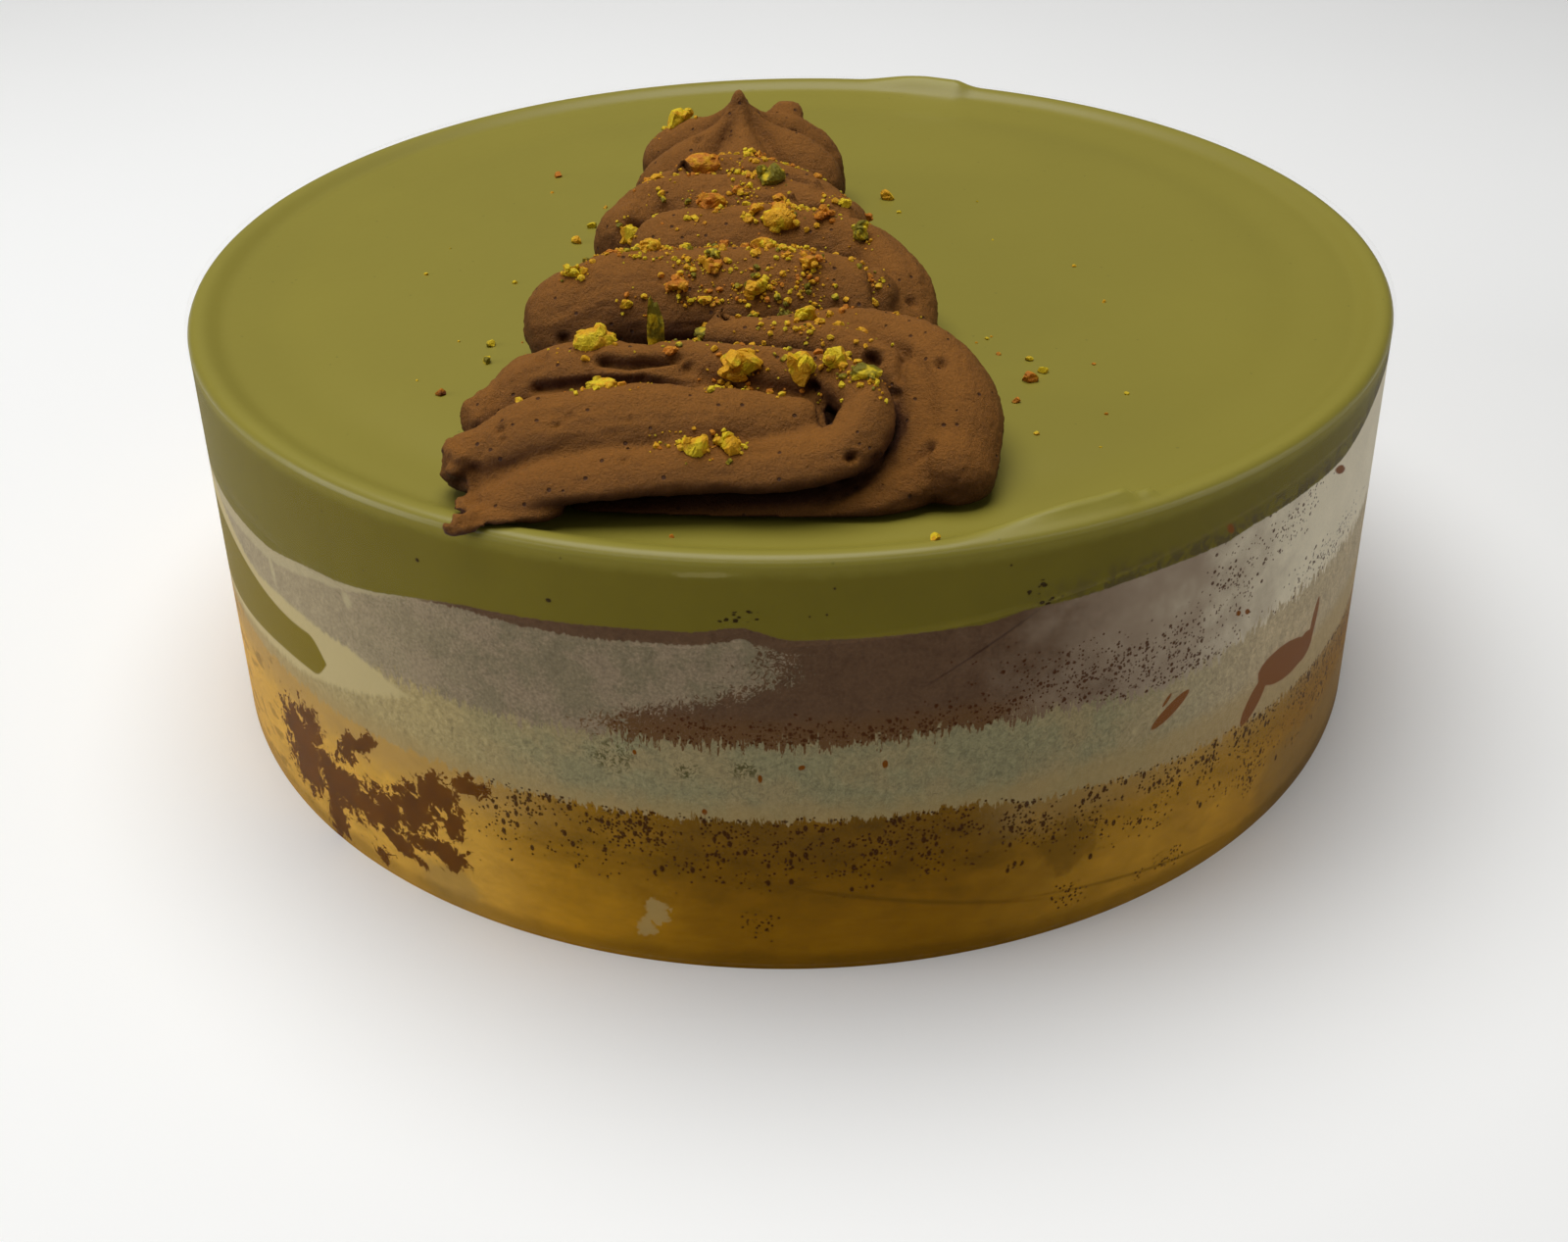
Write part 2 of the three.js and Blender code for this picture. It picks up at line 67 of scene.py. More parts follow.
# Boundaries between layers: level in the middle, tilt at the side and phase of the waves there.
SPONGE_EDGE = (20, 0, 0.6)
CREAM_EDGE = (30, 0, 2.1)
GLAZE_EDGE = (42.2, 4.8, 3.9)
EDGE_WAVE = 0.6
LONG_WAVES = 3
SHORT_WAVES = 7
SHORT_SHARE = 0.7
WAVE_START = 0.7
# Rings of the meshes, as shares of the radius. Points below the first share lie on an end.
INSIDE_SHARE = 0.9999
UNDERSIDE_RING = 0.74
LAYER_RINGS = [0.9, UNDERSIDE_RING, 0.3]
GLAZE_EDGE_RINGS = [0.999, 0.9975, 0.9955, 0.9925, 0.989]
GLAZE_RINGS = [1 - k * 0.0075 for k in range(2, 28)]
GLAZE_INNER_RINGS = 24
LAYER_SIDES, LAYER_ROWS = 360, 6
GLAZE_SIDES, GLAZE_ROWS = 720, 8
SHADE_ANGLE = math.radians(40)

LIP_HEIGHT = 1.1
LIP_WIDTH = 4.5
LIP_CREST_INSET = 1.5
LIP_ROUNDING = 1.2
LIP_FALL = 0.98
TROUGH_DEPTH = 0.4
TROUGH_INSET = 11
TROUGH_WIDTH = 4
# Heights over which raised glaze, on the smears and the lip, gets a painted highlight.
RAISED_HIGHLIGHT = (50.9, 52.2)
GLAZE_SIDE_SLOPE = 0.4
# Spatula smears near the rim, which rise from their start: both ends, height and half width.
SMEARS = [
    (14, -72, 32.4, -64.4, 1.7, 1), (25, -67.6, 35.2, -63.4, 1, 0.6), (12, 74, 27, 67, 1.4, 2.2),
]
SMEAR_RISE = 0.75

# ---- Collar, mm and degrees ----

COLLAR_LIFT = 0.6
COLLAR_SEAM = 132
COLLAR_OVERLAP = 16
OVERLAP_RISE = 30
COLLAR_SIDES, COLLAR_ROWS = 540, 4
# How much the film hides: seen straight, added where it is seen edge-on, and at its rims.
FILM_CLEAR, FILM_EDGE_ON, FILM_RIM = 0.0008, 0.035, 0.016
FOOT_RIM = (0.85, 0.75)
TOP_RIM = (COLLAR_HEIGHT - 0.25, COLLAR_HEIGHT - 0.15)

# ---- Piping: rows of centre x, y, height above the glaze, half width and half height ----

STRANDS = {
    "core": [
        (-6, 8, 1.5, 8, 6), (-7, -8, 1.5, 12, 6), (-6, -24, 1.5, 13, 6), (-6, -39, 0.5, 11, 2.6),
        (-7, -50, 1, 12, 5.6),
    ],
    "stub": [(-2.3, 23.5, 8, 3.2, 2.6), (0, 24.6, 10.9, 2.8, 1.7)],
    "fold_top": [
        (-15, 3, 6, 4.5, 4.5), (-9, 2.5, 8.2, 4.5, 4.5), (-3, 1, 8.4, 4.5, 4.2),
        (2, -1, 7.5, 4.2, 4.2), (6, -5, 6, 4, 4),
    ],
    "fold_fourth": [
        (-19, -6, 4.4, 5.4, 5.6), (-16, -3.5, 6.4, 5.6, 5.6), (-9, -4, 7.2, 5.8, 5.5),
        (-1, -5.5, 7, 5.8, 5.5), (5, -9, 6.4, 5.2, 5.2),
    ],
    "fold_third_upper": [
        (11.8, -29, 2.2, 5, 4.5), (12.2, -24, 4, 5, 5), (10, -18.5, 5.5, 5.2, 5.2),
        (4, -15, 6.6, 5.4, 5.4), (-5, -14.5, 7, 5.6, 5.4), (-14, -13.5, 6.2, 5.6, 5.4),
    ],
    "fold_third": [
        (-24, -29.5, 4.4, 6.6, 6.6), (-19, -28.5, 5.8, 7.2, 6.8), (-10, -28, 6, 7.4, 6.4),
        (0, -28, 6, 7, 6.4), (7, -29, 5.4, 6, 6),
    ],
    "fold_second": [
        (15.5, -60, 1.5, 5, 4.6), (16.5, -55, 3.6, 5.2, 5.2), (15.5, -49, 5.2, 5.4, 5.4),
        (11, -43.5, 6, 5.4, 5.2), (4, -41.5, 6.2, 5, 4.8), (-3, -41.5, 5.8, 4, 4.4),
    ],
    "fold_under": [
        (-27, -45.5, 3.2, 5.2, 4.6), (-23, -44.6, 4.2, 5, 4.8), (-18.5, -44.4, 3.8, 4, 4),
    ],
    "foot_rib": [
        (-20, -61.6, 0, 3, 1.2), (-8, -61.8, 0.1, 4, 1.5), (3, -62.2, 0.3, 4, 1.8),
        (9.5, -61.6, 1, 4.2, 2.8), (13.4, -58.4, 2.6, 4.2, 3.5), (13.6, -53, 4.8, 3.8, 3.4),
        (9.8, -47.8, 7, 3.4, 3.2), (3, -45, 8.2, 3, 3), (-7, -43, 8.4, 2.6, 2.6),
    ],
    "crest_rib": [
        (-31.5, -64.8, 1.2, 2.4, 0.9), (-28, -64.4, 2.3, 3, 1.6), (-22, -63.6, 3.8, 3.5, 2),
        (-12, -63, 4.5, 3.6, 2.1), (-2, -63.2, 4.7, 3.6, 2.1), (4.6, -62.4, 5.6, 3.5, 2.5),
        (7.4, -58.8, 7.2, 3, 3), (6, -55, 8.3, 2.7, 3), (2, -52.6, 8.5, 2.7, 2.9),
        (-6, -50.6, 8.4, 3, 3), (-13, -48.6, 8, 3, 3),
    ],
    "top_rib": [
        (-32, -59, 3, 3.6, 3.2), (-27, -58, 4.9, 4.6, 4), (-18, -57.4, 5.7, 4.9, 4.2),
        (-8, -57.6, 5.9, 4.9, 4.1), (0.6, -58, 5.4, 3.6, 3.4),
    ],
    "back_rib": [
        (-31, -50.5, 3, 4, 3.8), (-27, -49.2, 5.4, 4.4, 4.2), (-20, -49.5, 7.2, 4.4, 4.2),
        (-13, -50.5, 7.2, 4, 3.8), (-8, -51.5, 6, 3.4, 3.4),
    ],
    "torn_end": [
        (-25, -64.6, 1.4, 3.2, 1.2), (-29, -66, 1.3, 2.5, 1.1), (-31.6, -67.4, 1.1, 1.7, 1),
        (-33, -68.6, 1, 1, 0.9),
    ],
}
# Cross sections: sharpness of the ridge on top, sharpness at the sides, and tilt in degrees, which
# raises the inner side of the bend.
SECTIONS = {
    "crest_rib": (1.5, 0.9, 14), "foot_rib": (0.9, 1, 8), "top_rib": (1.35, 1, -6),
    "back_rib": (1.3, 1, 8), "fold_second": (1.35, 1, 6), "fold_third": (1.3, 1, 0),
    "fold_third_upper": (1.35, 1, 0), "fold_fourth": (1.35, 1, 0), "fold_top": (1.25, 1, 0),
}
STRAND_SIDES = 32
STRAND_STEP = 0.8
CAP_REACH = 0.95
INNER_REACH = 0.9
REST_MARGIN = 0.15
PATH_STEPS = 60
HEADING_REACH = 1.5

# Slits in the cream: depth, half width, then points in mm.
SLITS = [
    (1.5, 0.9, [
        (-19.1, -51.9, 61.2), (-16.4, -52.5, 61), (-13.5, -51.9, 61.3), (-11.5, -51.1, 61)]),
    (1.6, 0.8, [(2.1, -55.3, 59.6), (3.3, -58, 58.6), (3.6, -60.2, 58)]),
    (1, 0.8, [(-10.5, -52.1, 60.6), (-9.2, -56.3, 60.6), (-7.6, -58.1, 59.8)]),
    (1.6, 0.8, [(-25, -61.8, 56), (-14.8, -61.9, 56.4), (-4.5, -62, 56.4), (2, -61, 56.6)]),
    (1.4, 0.9, [
        (-22, -65.4, 52.4), (-8, -65.7, 52.6), (3, -66.1, 52.8), (9.5, -64.8, 54.4),
        (13.4, -61.4, 56)]),
    (1.2, 0.9, [(-26, -52.6, 58.6), (-20, -53.4, 59.4), (-14, -54, 59.6), (-10, -54.4, 59)]),
    (1, 0.8, [(11, -53.5, 59), (12, -49, 60.2), (8.5, -46, 61), (2, -43.8, 61)]),
]
# Valleys between the folds, as seen from above: depth, half width, then points in mm.
VALLEYS = [
    (1.1, 1.1, [(-21, -21.5), (-8, -21.4), (4, -21.6), (8.5, -25), (10, -33)]),
    (1.1, 1, [(-19, -9.6), (-5, -10), (4, -11.4), (8, -15)]),
    (1, 1, [(-15, -0.8), (-4, -1.6), (3.5, -4), (6, -8)]),
    (0.9, 1, [(-2, -36.2), (8, -37.2), (14.5, -40)]),
]
# Air holes: x, y, z, reach and depth.
PITS = [
    (-24.3, -55.5, 60, 1.1, 1.2), (-16.5, -60, 57.6, 1.3, 1.3), (-15.3, -60.1, 57.7, 0.9, 1),
    (8.4, -50, 59.9, 1.2, 1.5), (5.9, -65.2, 56.9, 0.8, 1), (-6.7, -42.7, 62, 0.9, 1.2),
    (-12, -57, 60, 0.6, 0.6), (6, -64, 55, 0.5, 0.6), (-3, -64, 56, 0.4, 0.4),
    (15.4, -51.6, 60, 0.9, 0.9), (18, -56, 56, 0.6, 0.6), (-20, -27, 62, 0.8, 0.7),
    (-16, -31.5, 60.6, 0.7, 0.7), (9.5, -25, 61, 0.7, 0.7), (-9.6, -9, 62.6, 0.8, 0.8),
]
SMALL_PITS = 90
SMALL_PIT_REACH = (0.4, 0.6)
SMALL_PIT_DEPTH = 0.75
PIT_SEED = 5
# Lumps: how often, each mm, and height.
LUMPS = [(0.16, 0.34), (0.45, 0.14), (1.3, 0.1), (2.6, 0.06)]
# Fine lines: how often round a rib and along it, step and shift from rib to rib, and weight.
STREAKS = [(0.7, 0.05, 7.3, 0, 2), (2.2, 0.09, 3.1, 40, 1.2)]
STREAK_STEP = 1.0
STREAK_BATCH = 4000
# Torn parts: span in x and in y, and depth of the tears.
THIN_TAIL = ((-27, -32), (-60, -64), 0.4)
BLUNT_ENDS = ((-28, -34), (-40, -46), 0.45)
TAIL_SINK = 0.2
TEARS = 0.55
TEAR_MIDDLE = 0.45
RELIEF_START = (0.4, 1.6)
# Rings of directions that test how open the sky is: rise and number.
SKY_RINGS = [(0.95, 3), (0.75, 6), (0.45, 7)]
SKY_START = 0.25
SKY_REACH = 25

DOLLOP_CENTRE = (-6.2, 16.5)
DOLLOP_PROFILE = [
    (0, 14.4), (3, 15.1), (6, 15), (8.2, 13.8), (10, 11.6),
    (11.4, 8.8), (12.4, 5.8), (13.4, 3.4), (14.8, 1.7), (16.2, 0.9), (17, 0.4),
]
RIBS = 6
RIB_DEPTH = 0.24
RIB_ROUND = 0.75
RIB_START = -40
RIB_TWIST = 24
RIB_SINK = 1.6
RIB_FADE, SINK_FADE, SINK_HEIGHT = (0, 4), (0, 5), (4, 9)
DOLLOP_SIDES = 144
DOLLOP_LEVELS = 46

# Torn points of cream: x, y, height of the tip and half width at the foot.
PEAKS = [(-7, -42.5, 12.2, 3), (-13, -0.5, 14, 3.5), (3.5, -7, 13.2, 2.6), (0.5, -12.5, 13.6, 2.8)]
PEAK_LEVELS = [(7, 1), (3, 0.62), (0, 0.12)]
PEAK_FLATNESS = 0.7
PEAK_SIDES = 24

# ---- Nuts and crumbs. Pairs of numbers for a draw are the least value and the spread above it ----

# x, y, length, width, height, turn and kind.
LARGE_NUTS = [
    (-20, -49, 3.5, 2.6, 2.3, 10, "fresh"), (-5, -53, 4, 2.6, 2.2, -12, "golden"),
    (1.3, -54.5, 2.2, 2.4, 3, 20, "golden"),
    (-18.7, -55.5, 2.9, 1.8, 1.5, 5, "fresh"), (-9.2, -63.5, 2.2, 2, 2, 20, "golden"),
    (-6, -63.5, 2, 1.8, 2, 70, "golden"), (4.8, -54, 2.6, 2, 1.8, 0, "fresh"),
    (7.6, -56.5, 2.8, 1.6, 1.6, -10, "green"), (-10.5, 1, 4, 2.6, 2.2, 5, "toasted"),
    (-1.8, -5.5, 2.8, 2.6, 2.6, 40, "green"), (-1, -17, 3.5, 2.4, 2.2, -20, "golden"),
    (-9, -13, 3, 2.4, 2.2, 10, "toasted"), (-14.5, 21, 3.3, 2.8, 2.8, 30, "fresh"),
    (-11.5, 23.5, 2.8, 2.2, 2.2, -20, "golden"), (8.7, -19, 1.8, 2.4, 1.8, 0, "green"),
    (-24, -30, 2.2, 1.5, 1.5, 20, "golden"), (-19.3, -10, 2.2, 2, 2, 0, "golden"),
    (1.7, -43.5, 2, 1.8, 1.8, 30, "fresh"), (-3.8, -48, 2, 2, 2, 0, "fresh"),
    (-3.8, -33, 2.4, 1.7, 1.7, 15, "golden"), (-12.4, -33, 2.4, 1.6, 1.6, -5, "toasted"),
    (-3, -26.4, 2.3, 1.8, 1.5, 25, "toasted"), (-8.5, -30.6, 2.4, 1.9, 1.6, 60, "toasted"),
    (4.2, -16, 2.1, 1.7, 1.5, 10, "toasted"), (2.6, -30.4, 2, 1.6, 1.4, -30, "toasted"),
    (-15.4, -27, 2.2, 1.6, 1.4, 50, "golden"), (-5.4, -9.6, 2.2, 1.7, 1.6, 15, "toasted"),
]
# The sliver that stands up in the hollow: x, y, z of its middle, then as above.
SLIVER = (-14, -45, 61.7, 1.7, 1.2, 7, 0, "green")
CUT_DEPTH = (0.2, 0.24)
CRUMBLE_OUT = 0.4
NUT_SCALE = 1.25
NUT_LEAN = 1.2
SLIVER_LEAN = 0.12
NUT_SEED = 11
NUT_COUNT = 95
NUT_SIZE = 1.4
NUT_LONG = (0.5, 0.8)
NUT_WIDE = (0.6, 0.3)
NUT_HIGH = (0.5, 0.3)
NUT_LIFT = 0.15
NUT_LOWEST = 54
NUT_BACK = 8
NUT_FRONT = -50
NUT_CROWDING = 1.2
NUT_MIDDLE = -5
NUT_SPREAD = 14
NUT_KINDS = ["golden", "toasted", "golden", "fresh", "green", "toasted", "fresh", "toasted"]
CHUNK_SIZE = 1.3
FRAGMENTS = 6
FRAGMENT_REACH = 0.5
FRAGMENT_SHARE = (0.3, 0.3)
CHUNK_SHAPES = {"count": 8, "seed": 3, "roundness": 2, "cuts": 9, "crumbly": 1.7}
CHIP_SHAPES = {"count": 9, "seed": 17, "roundness": 1, "cuts": 5, "crumbly": 0}
CRUMB_LIFT = 0.2

# Crumbs that lie on the glaze: x, y, size and kind.
GLAZE_CRUMBS = [
    (13.9, 21.5, 2, "golden"), (26.8, -35.9, 1.8, "toasted"), (28.6, -34, 1.2, "golden"),
    (27.4, -30.8, 1, "fresh"), (24.7, -41.3, 1, "toasted"), (13.6, -71, 1.2, "fresh"),
    (-35.2, -24.4, 1.2, "green"), (-35, -29, 1.3, "green"), (-26.5, 12.5, 1.3, "green"),
    (-28, 7.2, 1.4, "golden"), (-33.1, 32.6, 1.3, "skin"), (-39.1, -37, 1.2, "skin"),
]
# Lines along which fine crumbs lie: how many, then points x, y.
DUST_LINES = [
    (90, [(-17, -26.9), (-11.5, -26), (-1.6, -27.2), (2.8, -28)]),
    (110, [(-12.4, -33.4), (-4.9, -33.6), (4.9, -33)]),
    (60, [(-22.6, -27.2), (-16.9, -28.9), (-11.3, -30.4)]),
    (50, [(7.2, -28), (10.4, -31.4), (11.4, -42.5)]),
    (120, [(-6.5, 0.6), (-6.1, -6.7), (-4, -8.7), (-0.4, -14.2), (3.1, -14.6), (5.6, -8.4)]),
    (40, [(-12.4, -7.6), (-10, -7.4), (-8, -14.3)]), (30, [(-21.6, -49.5), (-17.2, -43.4)]),
    (20, [(-6.6, -53.2), (-0.6, -54.3)]), (30, [(5.2, -55.7), (9, -58.8)]),
    (40, [(-13.9, -62.6), (-4.5, -62.8)]), (20, [(-0.5, -44.7), (4.5, -47.1)]),
    (70, [(-11.4, -29.7), (2.7, -32.6)]), (60, [(-8, 5), (-3, 3), (4, 2)]),
]
DUST_WIDTH = (2.2, 1.8)
DUST_ROUND_NUT = 9
DUST_NEAR_NUT = (0.5, 0.6)
DUST_THINNING = (-0.2, 0.35)
DUST_LIFT = 0.1
DUST_SEED = 23
DUST_COUNT = 1500
DUST_SPREAD = 17
DUST_LENGTH = 66
DUST_CROWDING = 1.25
DUST_PATCHES = 0.2
DUST_SIZE = (0.25, 0.8)
DUST_KINDS = ["golden", "fresh", "golden", "toasted", "golden", "green", "toasted", "golden"]
GLAZE_DUST_COUNT = 60
GLAZE_DUST_CENTRE = (-6, -20)
GLAZE_DUST_RING = (20, 26)
GLAZE_DUST_LONG = 1.3
GLAZE_DUST_LIMIT = 70
GLAZE_DUST_SIZE = (0.3, 0.4)

# ---- Camera, in degrees, and stage ----

LENS = 39.99
CAMERA_DISTANCE = 253.6
CAMERA_ELEVATION = 32.928
CAMERA_PITCH = 34.063
CAMERA_YAW = -0.401
CAMERA_ROLL = -1.160
SENSOR_WIDTH = 36
# Lights: name, place and size in metres, and power.
LIGHTS = [
    ("overhead", (-0.09, 0.1, 0.75), 0.7, 5.8),
    ("left_window", (-0.8, -0.15, 0.28), 0.5, 2.25),
    ("right_window", (0.8, -0.2, 0.28), 0.5, 0.75),
]
LIGHTS_AIM = (0, 0, 0.03)
ROOM_LIGHT = 0.08
FLOOR_COLOUR = (0.92, 0.92, 0.91)
FLOOR_RADIUS = 2


def from_hex(text):
    """A colour as it is seen, such as 8a7f3a, as the linear values that shaders use."""
    seen = [int(text[k:k + 2], 16) / 255 for k in (0, 2, 4)]
    return tuple(c / 12.92 if c <= 0.04045 else ((c + 0.055) / 1.055) ** 2.4 for c in seen)


# ---- Settings ----

def colour_setting(name, description, seen):
    return bpy.props.FloatVectorProperty(
        name=name, description=description, subtype="COLOR", size=3, min=0, max=1,
        default=from_hex(seen))


class CakeSizes(bpy.types.PropertyGroup):
    """Sizes that a user may change."""

    glaze_level: bpy.props.FloatProperty(
        name="Glaze level", description="Height of the glaze in the middle of the cake",
        default=50.3 * MM, unit="LENGTH")
    film: bpy.props.FloatProperty(
        name="Film", description="Thickness of the clear collar", default=0.15 * MM, unit="LENGTH")
    voxel: bpy.props.FloatProperty(
        name="Cream detail", description="Size of the voxels that join the piped strands",
        default=0.42 * MM, unit="LENGTH")
    streak_depth: bpy.props.FloatProperty(
        name="Streak depth", description="Depth of the fine lines along the piped cream",
        default=0.06 * MM, unit="LENGTH")


class CakeColours(bpy.types.PropertyGroup):
    """Colours as they are in soft white light."""

    glaze: colour_setting("Glaze", "Pistachio glaze", "877d2e")
    sponge_light: colour_setting("Light sponge", "Golden sponge on the left", "c4963a")
    sponge_deep: colour_setting("Deep sponge", "Golden sponge in front", "8a5f05")
    sponge_dark: colour_setting("Cocoa sponge", "Dark patches in the sponge", "633904")
    cream: colour_setting("Cream", "Clean cream at the left", "c0ae7c")
    frost: colour_setting("Frost", "Haze between the cream and the film", "988862")
    mousse: colour_setting("Mousse", "Chocolate mousse layer", "614833")
    piping: colour_setting("Piping", "Piped chocolate cream", "875519")
    lens: colour_setting("Smear", "Smooth chocolate smears in the cream", "7d4c22")
    fresh: colour_setting("Fresh nut", "Yellow-green broken pistachio", "ccb01a")
    golden: colour_setting("Golden nut", "Golden broken pistachio", "c99214")
    toasted: colour_setting("Toasted nut", "Orange toasted pistachio", "b66e18")
    green: colour_setting("Green nut", "Green pistachio skin", "6f6410")
    skin: colour_setting("Nut skin", "Brown pistachio skin", "5f3010")


# ---- Shader sheets ----

class Value:
    """A node's output that takes Python's operators, on either side of a number."""

    def __init__(self, sheet, socket):
        self.sheet = sheet
        self.socket = socket

    def __neg__(self):
        return self * -1


def add_operator(name, operation):
    setattr(Value, f"__{name}__", lambda a, b: a.sheet.maths(operation, a, b))
    setattr(Value, f"__r{name}__", lambda a, b: a.sheet.maths(operation, b, a))


for sign, operation in {"add": "ADD", "sub": "SUBTRACT", "mul": "MULTIPLY", "truediv": "DIVIDE",
                        "pow": "POWER"}.items():
    add_operator(sign, operation)


class Sheet:
    """The node sheet of one new material."""

    def __init__(self, name):
        self.material = bpy.data.materials.new(name)
        self.material.use_nodes = True
        self.tree = self.material.node_tree
        self.tree.nodes.clear()

    def node(self, kind, settings=None, sockets=None, output=0):
        """Any node: its settings are set first, then its sockets get values or links."""
        made = self.tree.nodes.new(kind)
        for name, value in (settings or {}).items():
            setattr(made, name, value)
        for name, value in (sockets or {}).items():
            if isinstance(value, Value):
                self.tree.links.new(value.socket, made.inputs[name])
            elif made.inputs[name].type == "RGBA":
                colour = from_hex(value) if isinstance(value, str) else value
                made.inputs[name].default_value = (*colour[:3], 1)
            else:
                made.inputs[name].default_value = value
        return Value(self, made.outputs[output]) if made.outputs else None

    def maths(self, operation, *values):
        return self.node("ShaderNodeMath", {"operation": operation}, dict(enumerate(values)))

    def vector(self, operation, *values, output=0):
        sockets = dict(enumerate(values))
        return self.node("ShaderNodeVectorMath", {"operation": operation}, sockets, output)

    def mix(self, factor, first, second, blend="MIX"):
        return self.node("ShaderNodeMix", {"data_type": "RGBA", "blend_type": blend},
                         {0: factor, 6: first, 7: second}, 2)

    def tint(self, colour, amount):
        """The colour made lighter or darker by a value round 1."""
        grey = self.node("ShaderNodeCombineXYZ", None, {0: amount, 1: amount, 2: amount})
        return self.mix(1.0, colour, grey, "MULTIPLY")

    def ramp(self, value, start, end):
        """0 up to start and 1 from end, with a soft climb between. Start may be above end."""
        return self.node("ShaderNodeMapRange", {"interpolation_type": "SMOOTHSTEP"},
                         {"Value": value, "From Min": start, "From Max": end})

    def place(self, stretch=(1, 1, 1)):
        """Object coordinates in millimetres."""
        metres = self.node("ShaderNodeTexCoord", None, None, "Object")
        return self.vector("MULTIPLY", metres, tuple(k / MM for k in stretch))

    def parts(self, vector):
        made = self.node("ShaderNodeSeparateXYZ", None, {0: vector})
        return [Value(self, out) for out in made.socket.node.outputs]

    def noise(self, place, scale, detail=2.0, roughness=0.5, distortion=0.0):
        return self.node("ShaderNodeTexNoise", None, {
            "Vector": place, "Scale": scale, "Detail": detail, "Roughness": roughness,
            "Distortion": distortion})

    def specks(self, place, scale, size, share):
        """Small spots: a cell has one if its own random number is under the share."""
        near = self.node("ShaderNodeTexVoronoi", None, {"Vector": place, "Scale": scale})
        drawn = self.parts(Value(self, near.socket.node.outputs["Color"]))[0]
        return self.ramp(near, size, size * 0.6) * self.maths("LESS_THAN", drawn, share)

    def bump(self, height, strength, distance):
        return self.node("ShaderNodeBump", None, {
            "Height": height, "Strength": strength, "Distance": distance})

    def finish(self, colour, roughness=0.5, **others):
        """Ends the sheet in one Principled shader and returns the material."""
        sockets = {"Base Color": colour, "Roughness": roughness}
        sockets.update({name.replace("_", " "): value for name, value in others.items()})
        shader = self.node("ShaderNodeBsdfPrincipled", None, sockets)
        self.node("ShaderNodeOutputMaterial", None, {"Surface": shader})
        return self.material


# ---- Shapes in numbers ----

def smoothstep(start, end, value):
    t = np.clip((np.asarray(value, float) - start) / (end - start), 0, 1)
    return t * t * (3 - 2 * t)


def cake_radius(z):
    film = bpy.context.scene.cake_sizes.film / MM
    return BASE_RADIUS - film - FILM_GAP - (BASE_RADIUS - TOP_RADIUS) * z / COLLAR_HEIGHT


def boundary(edge):
    """A boundary between layers: level inside, and wavy where it shows through the collar."""
    level, tilt, phase = edge

    def height(x, y):
        angle = np.arctan2(y, x)
        shown = smoothstep(WAVE_START, 1, np.hypot(x, y) / cake_radius(level))
        long = np.sin(LONG_WAVES * angle + phase)
        short = SHORT_SHARE * np.sin(SHORT_WAVES * angle + 2 * phase)
        return level + shown * (tilt * np.cos(angle) + EDGE_WAVE * (long + short))

    return height


def floor_level(x, y):
    return np.zeros_like(x)


def glaze_level():
    return bpy.context.scene.cake_sizes.glaze_level / MM


def glaze_top(x, y):
    """Height of the glaze: level, a soft trough, a lip against the film and the smears."""
    level = glaze_level()
    out = np.hypot(x, y)
    rim = cake_radius(level)
    lip = LIP_HEIGHT * smoothstep(rim - LIP_WIDTH, rim - LIP_CREST_INSET, out)
    edge = np.clip((out - rim) / LIP_ROUNDING + 1, 0, 1)
    lip -= LIP_ROUNDING * (1 - np.sqrt(1 - LIP_FALL * edge ** 2))
    trough = TROUGH_DEPTH * np.exp(-((out - rim + TROUGH_INSET) / TROUGH_WIDTH) ** 2)
    smear = np.zeros_like(out)
    for x0, y0, x1, y1, height, width in SMEARS:
        run = np.array([x1 - x0, y1 - y0])
        t = np.clip(((x - x0) * run[0] + (y - y0) * run[1]) / (run @ run), 0, 1)
        away = np.hypot(x - x0 - t * run[0], y - y0 - t * run[1])
        grown = height * smoothstep(0, SMEAR_RISE, t)
        smear = np.maximum(smear, grown * np.exp(-(away / width) ** 2))
    return level + lip - trough + smear


def drawing(seed):
    """A small generator with a seed, so that each run gives the same draw."""
    state = seed
    while True:
        state = (state * 1664525 + 1013904223) % 4294967296
        yield state / 4294967296


def drawn(draw, limits, power=1):
    """A draw from limits, which are the least value and the spread above it."""
    return limits[0] + limits[1] * next(draw) ** power


# ---- Modelling helpers ----

def clear_selection():
    if bpy.context.mode != "OBJECT":
        bpy.ops.object.mode_set(mode="OBJECT")
    bpy.ops.object.select_all(action="DESELECT")


def select_only(piece):
    clear_selection()
    piece.select_set(True)
    bpy.context.view_layer.objects.active = piece


def corners(piece):
    """The vertices of a piece in mm."""
    flat = np.zeros(len(piece.data.vertices) * 3)
    piece.data.vertices.foreach_get("co", flat)
    return flat.reshape(-1, 3) / MM


def polar(places):
    """The angle and the distance from the middle of each point, as seen from above."""
    return np.arctan2(places[:, 1], places[:, 0]), np.hypot(places[:, 0], places[:, 1])


def put_corners(piece, places):
    piece.data.vertices.foreach_set("co", (np.asarray(places) * MM).ravel())
    piece.data.update()


def apply_modifier(piece, kind, **settings):
    modifier = piece.modifiers.new(kind.lower(), kind)
    for name, value in settings.items():
        setattr(modifier, name, value)
    bpy.context.view_layer.objects.active = piece
    bpy.ops.object.modifier_apply(modifier=modifier.name)


def face_outwards(piece):
    select_only(piece)
    bpy.ops.object.mode_set(mode="EDIT")
    bpy.ops.mesh.select_all(action="SELECT")
    bpy.ops.mesh.normals_make_consistent(inside=False)
    bpy.ops.object.mode_set(mode="OBJECT")


def join_pieces(pieces, name):
    clear_selection()
    for piece in pieces:
        piece.select_set(True)
    bpy.context.view_layer.objects.active = pieces[0]
    bpy.ops.object.join()
    joined = bpy.context.object
    joined.name = name
    joined.data.name = name
    return joined


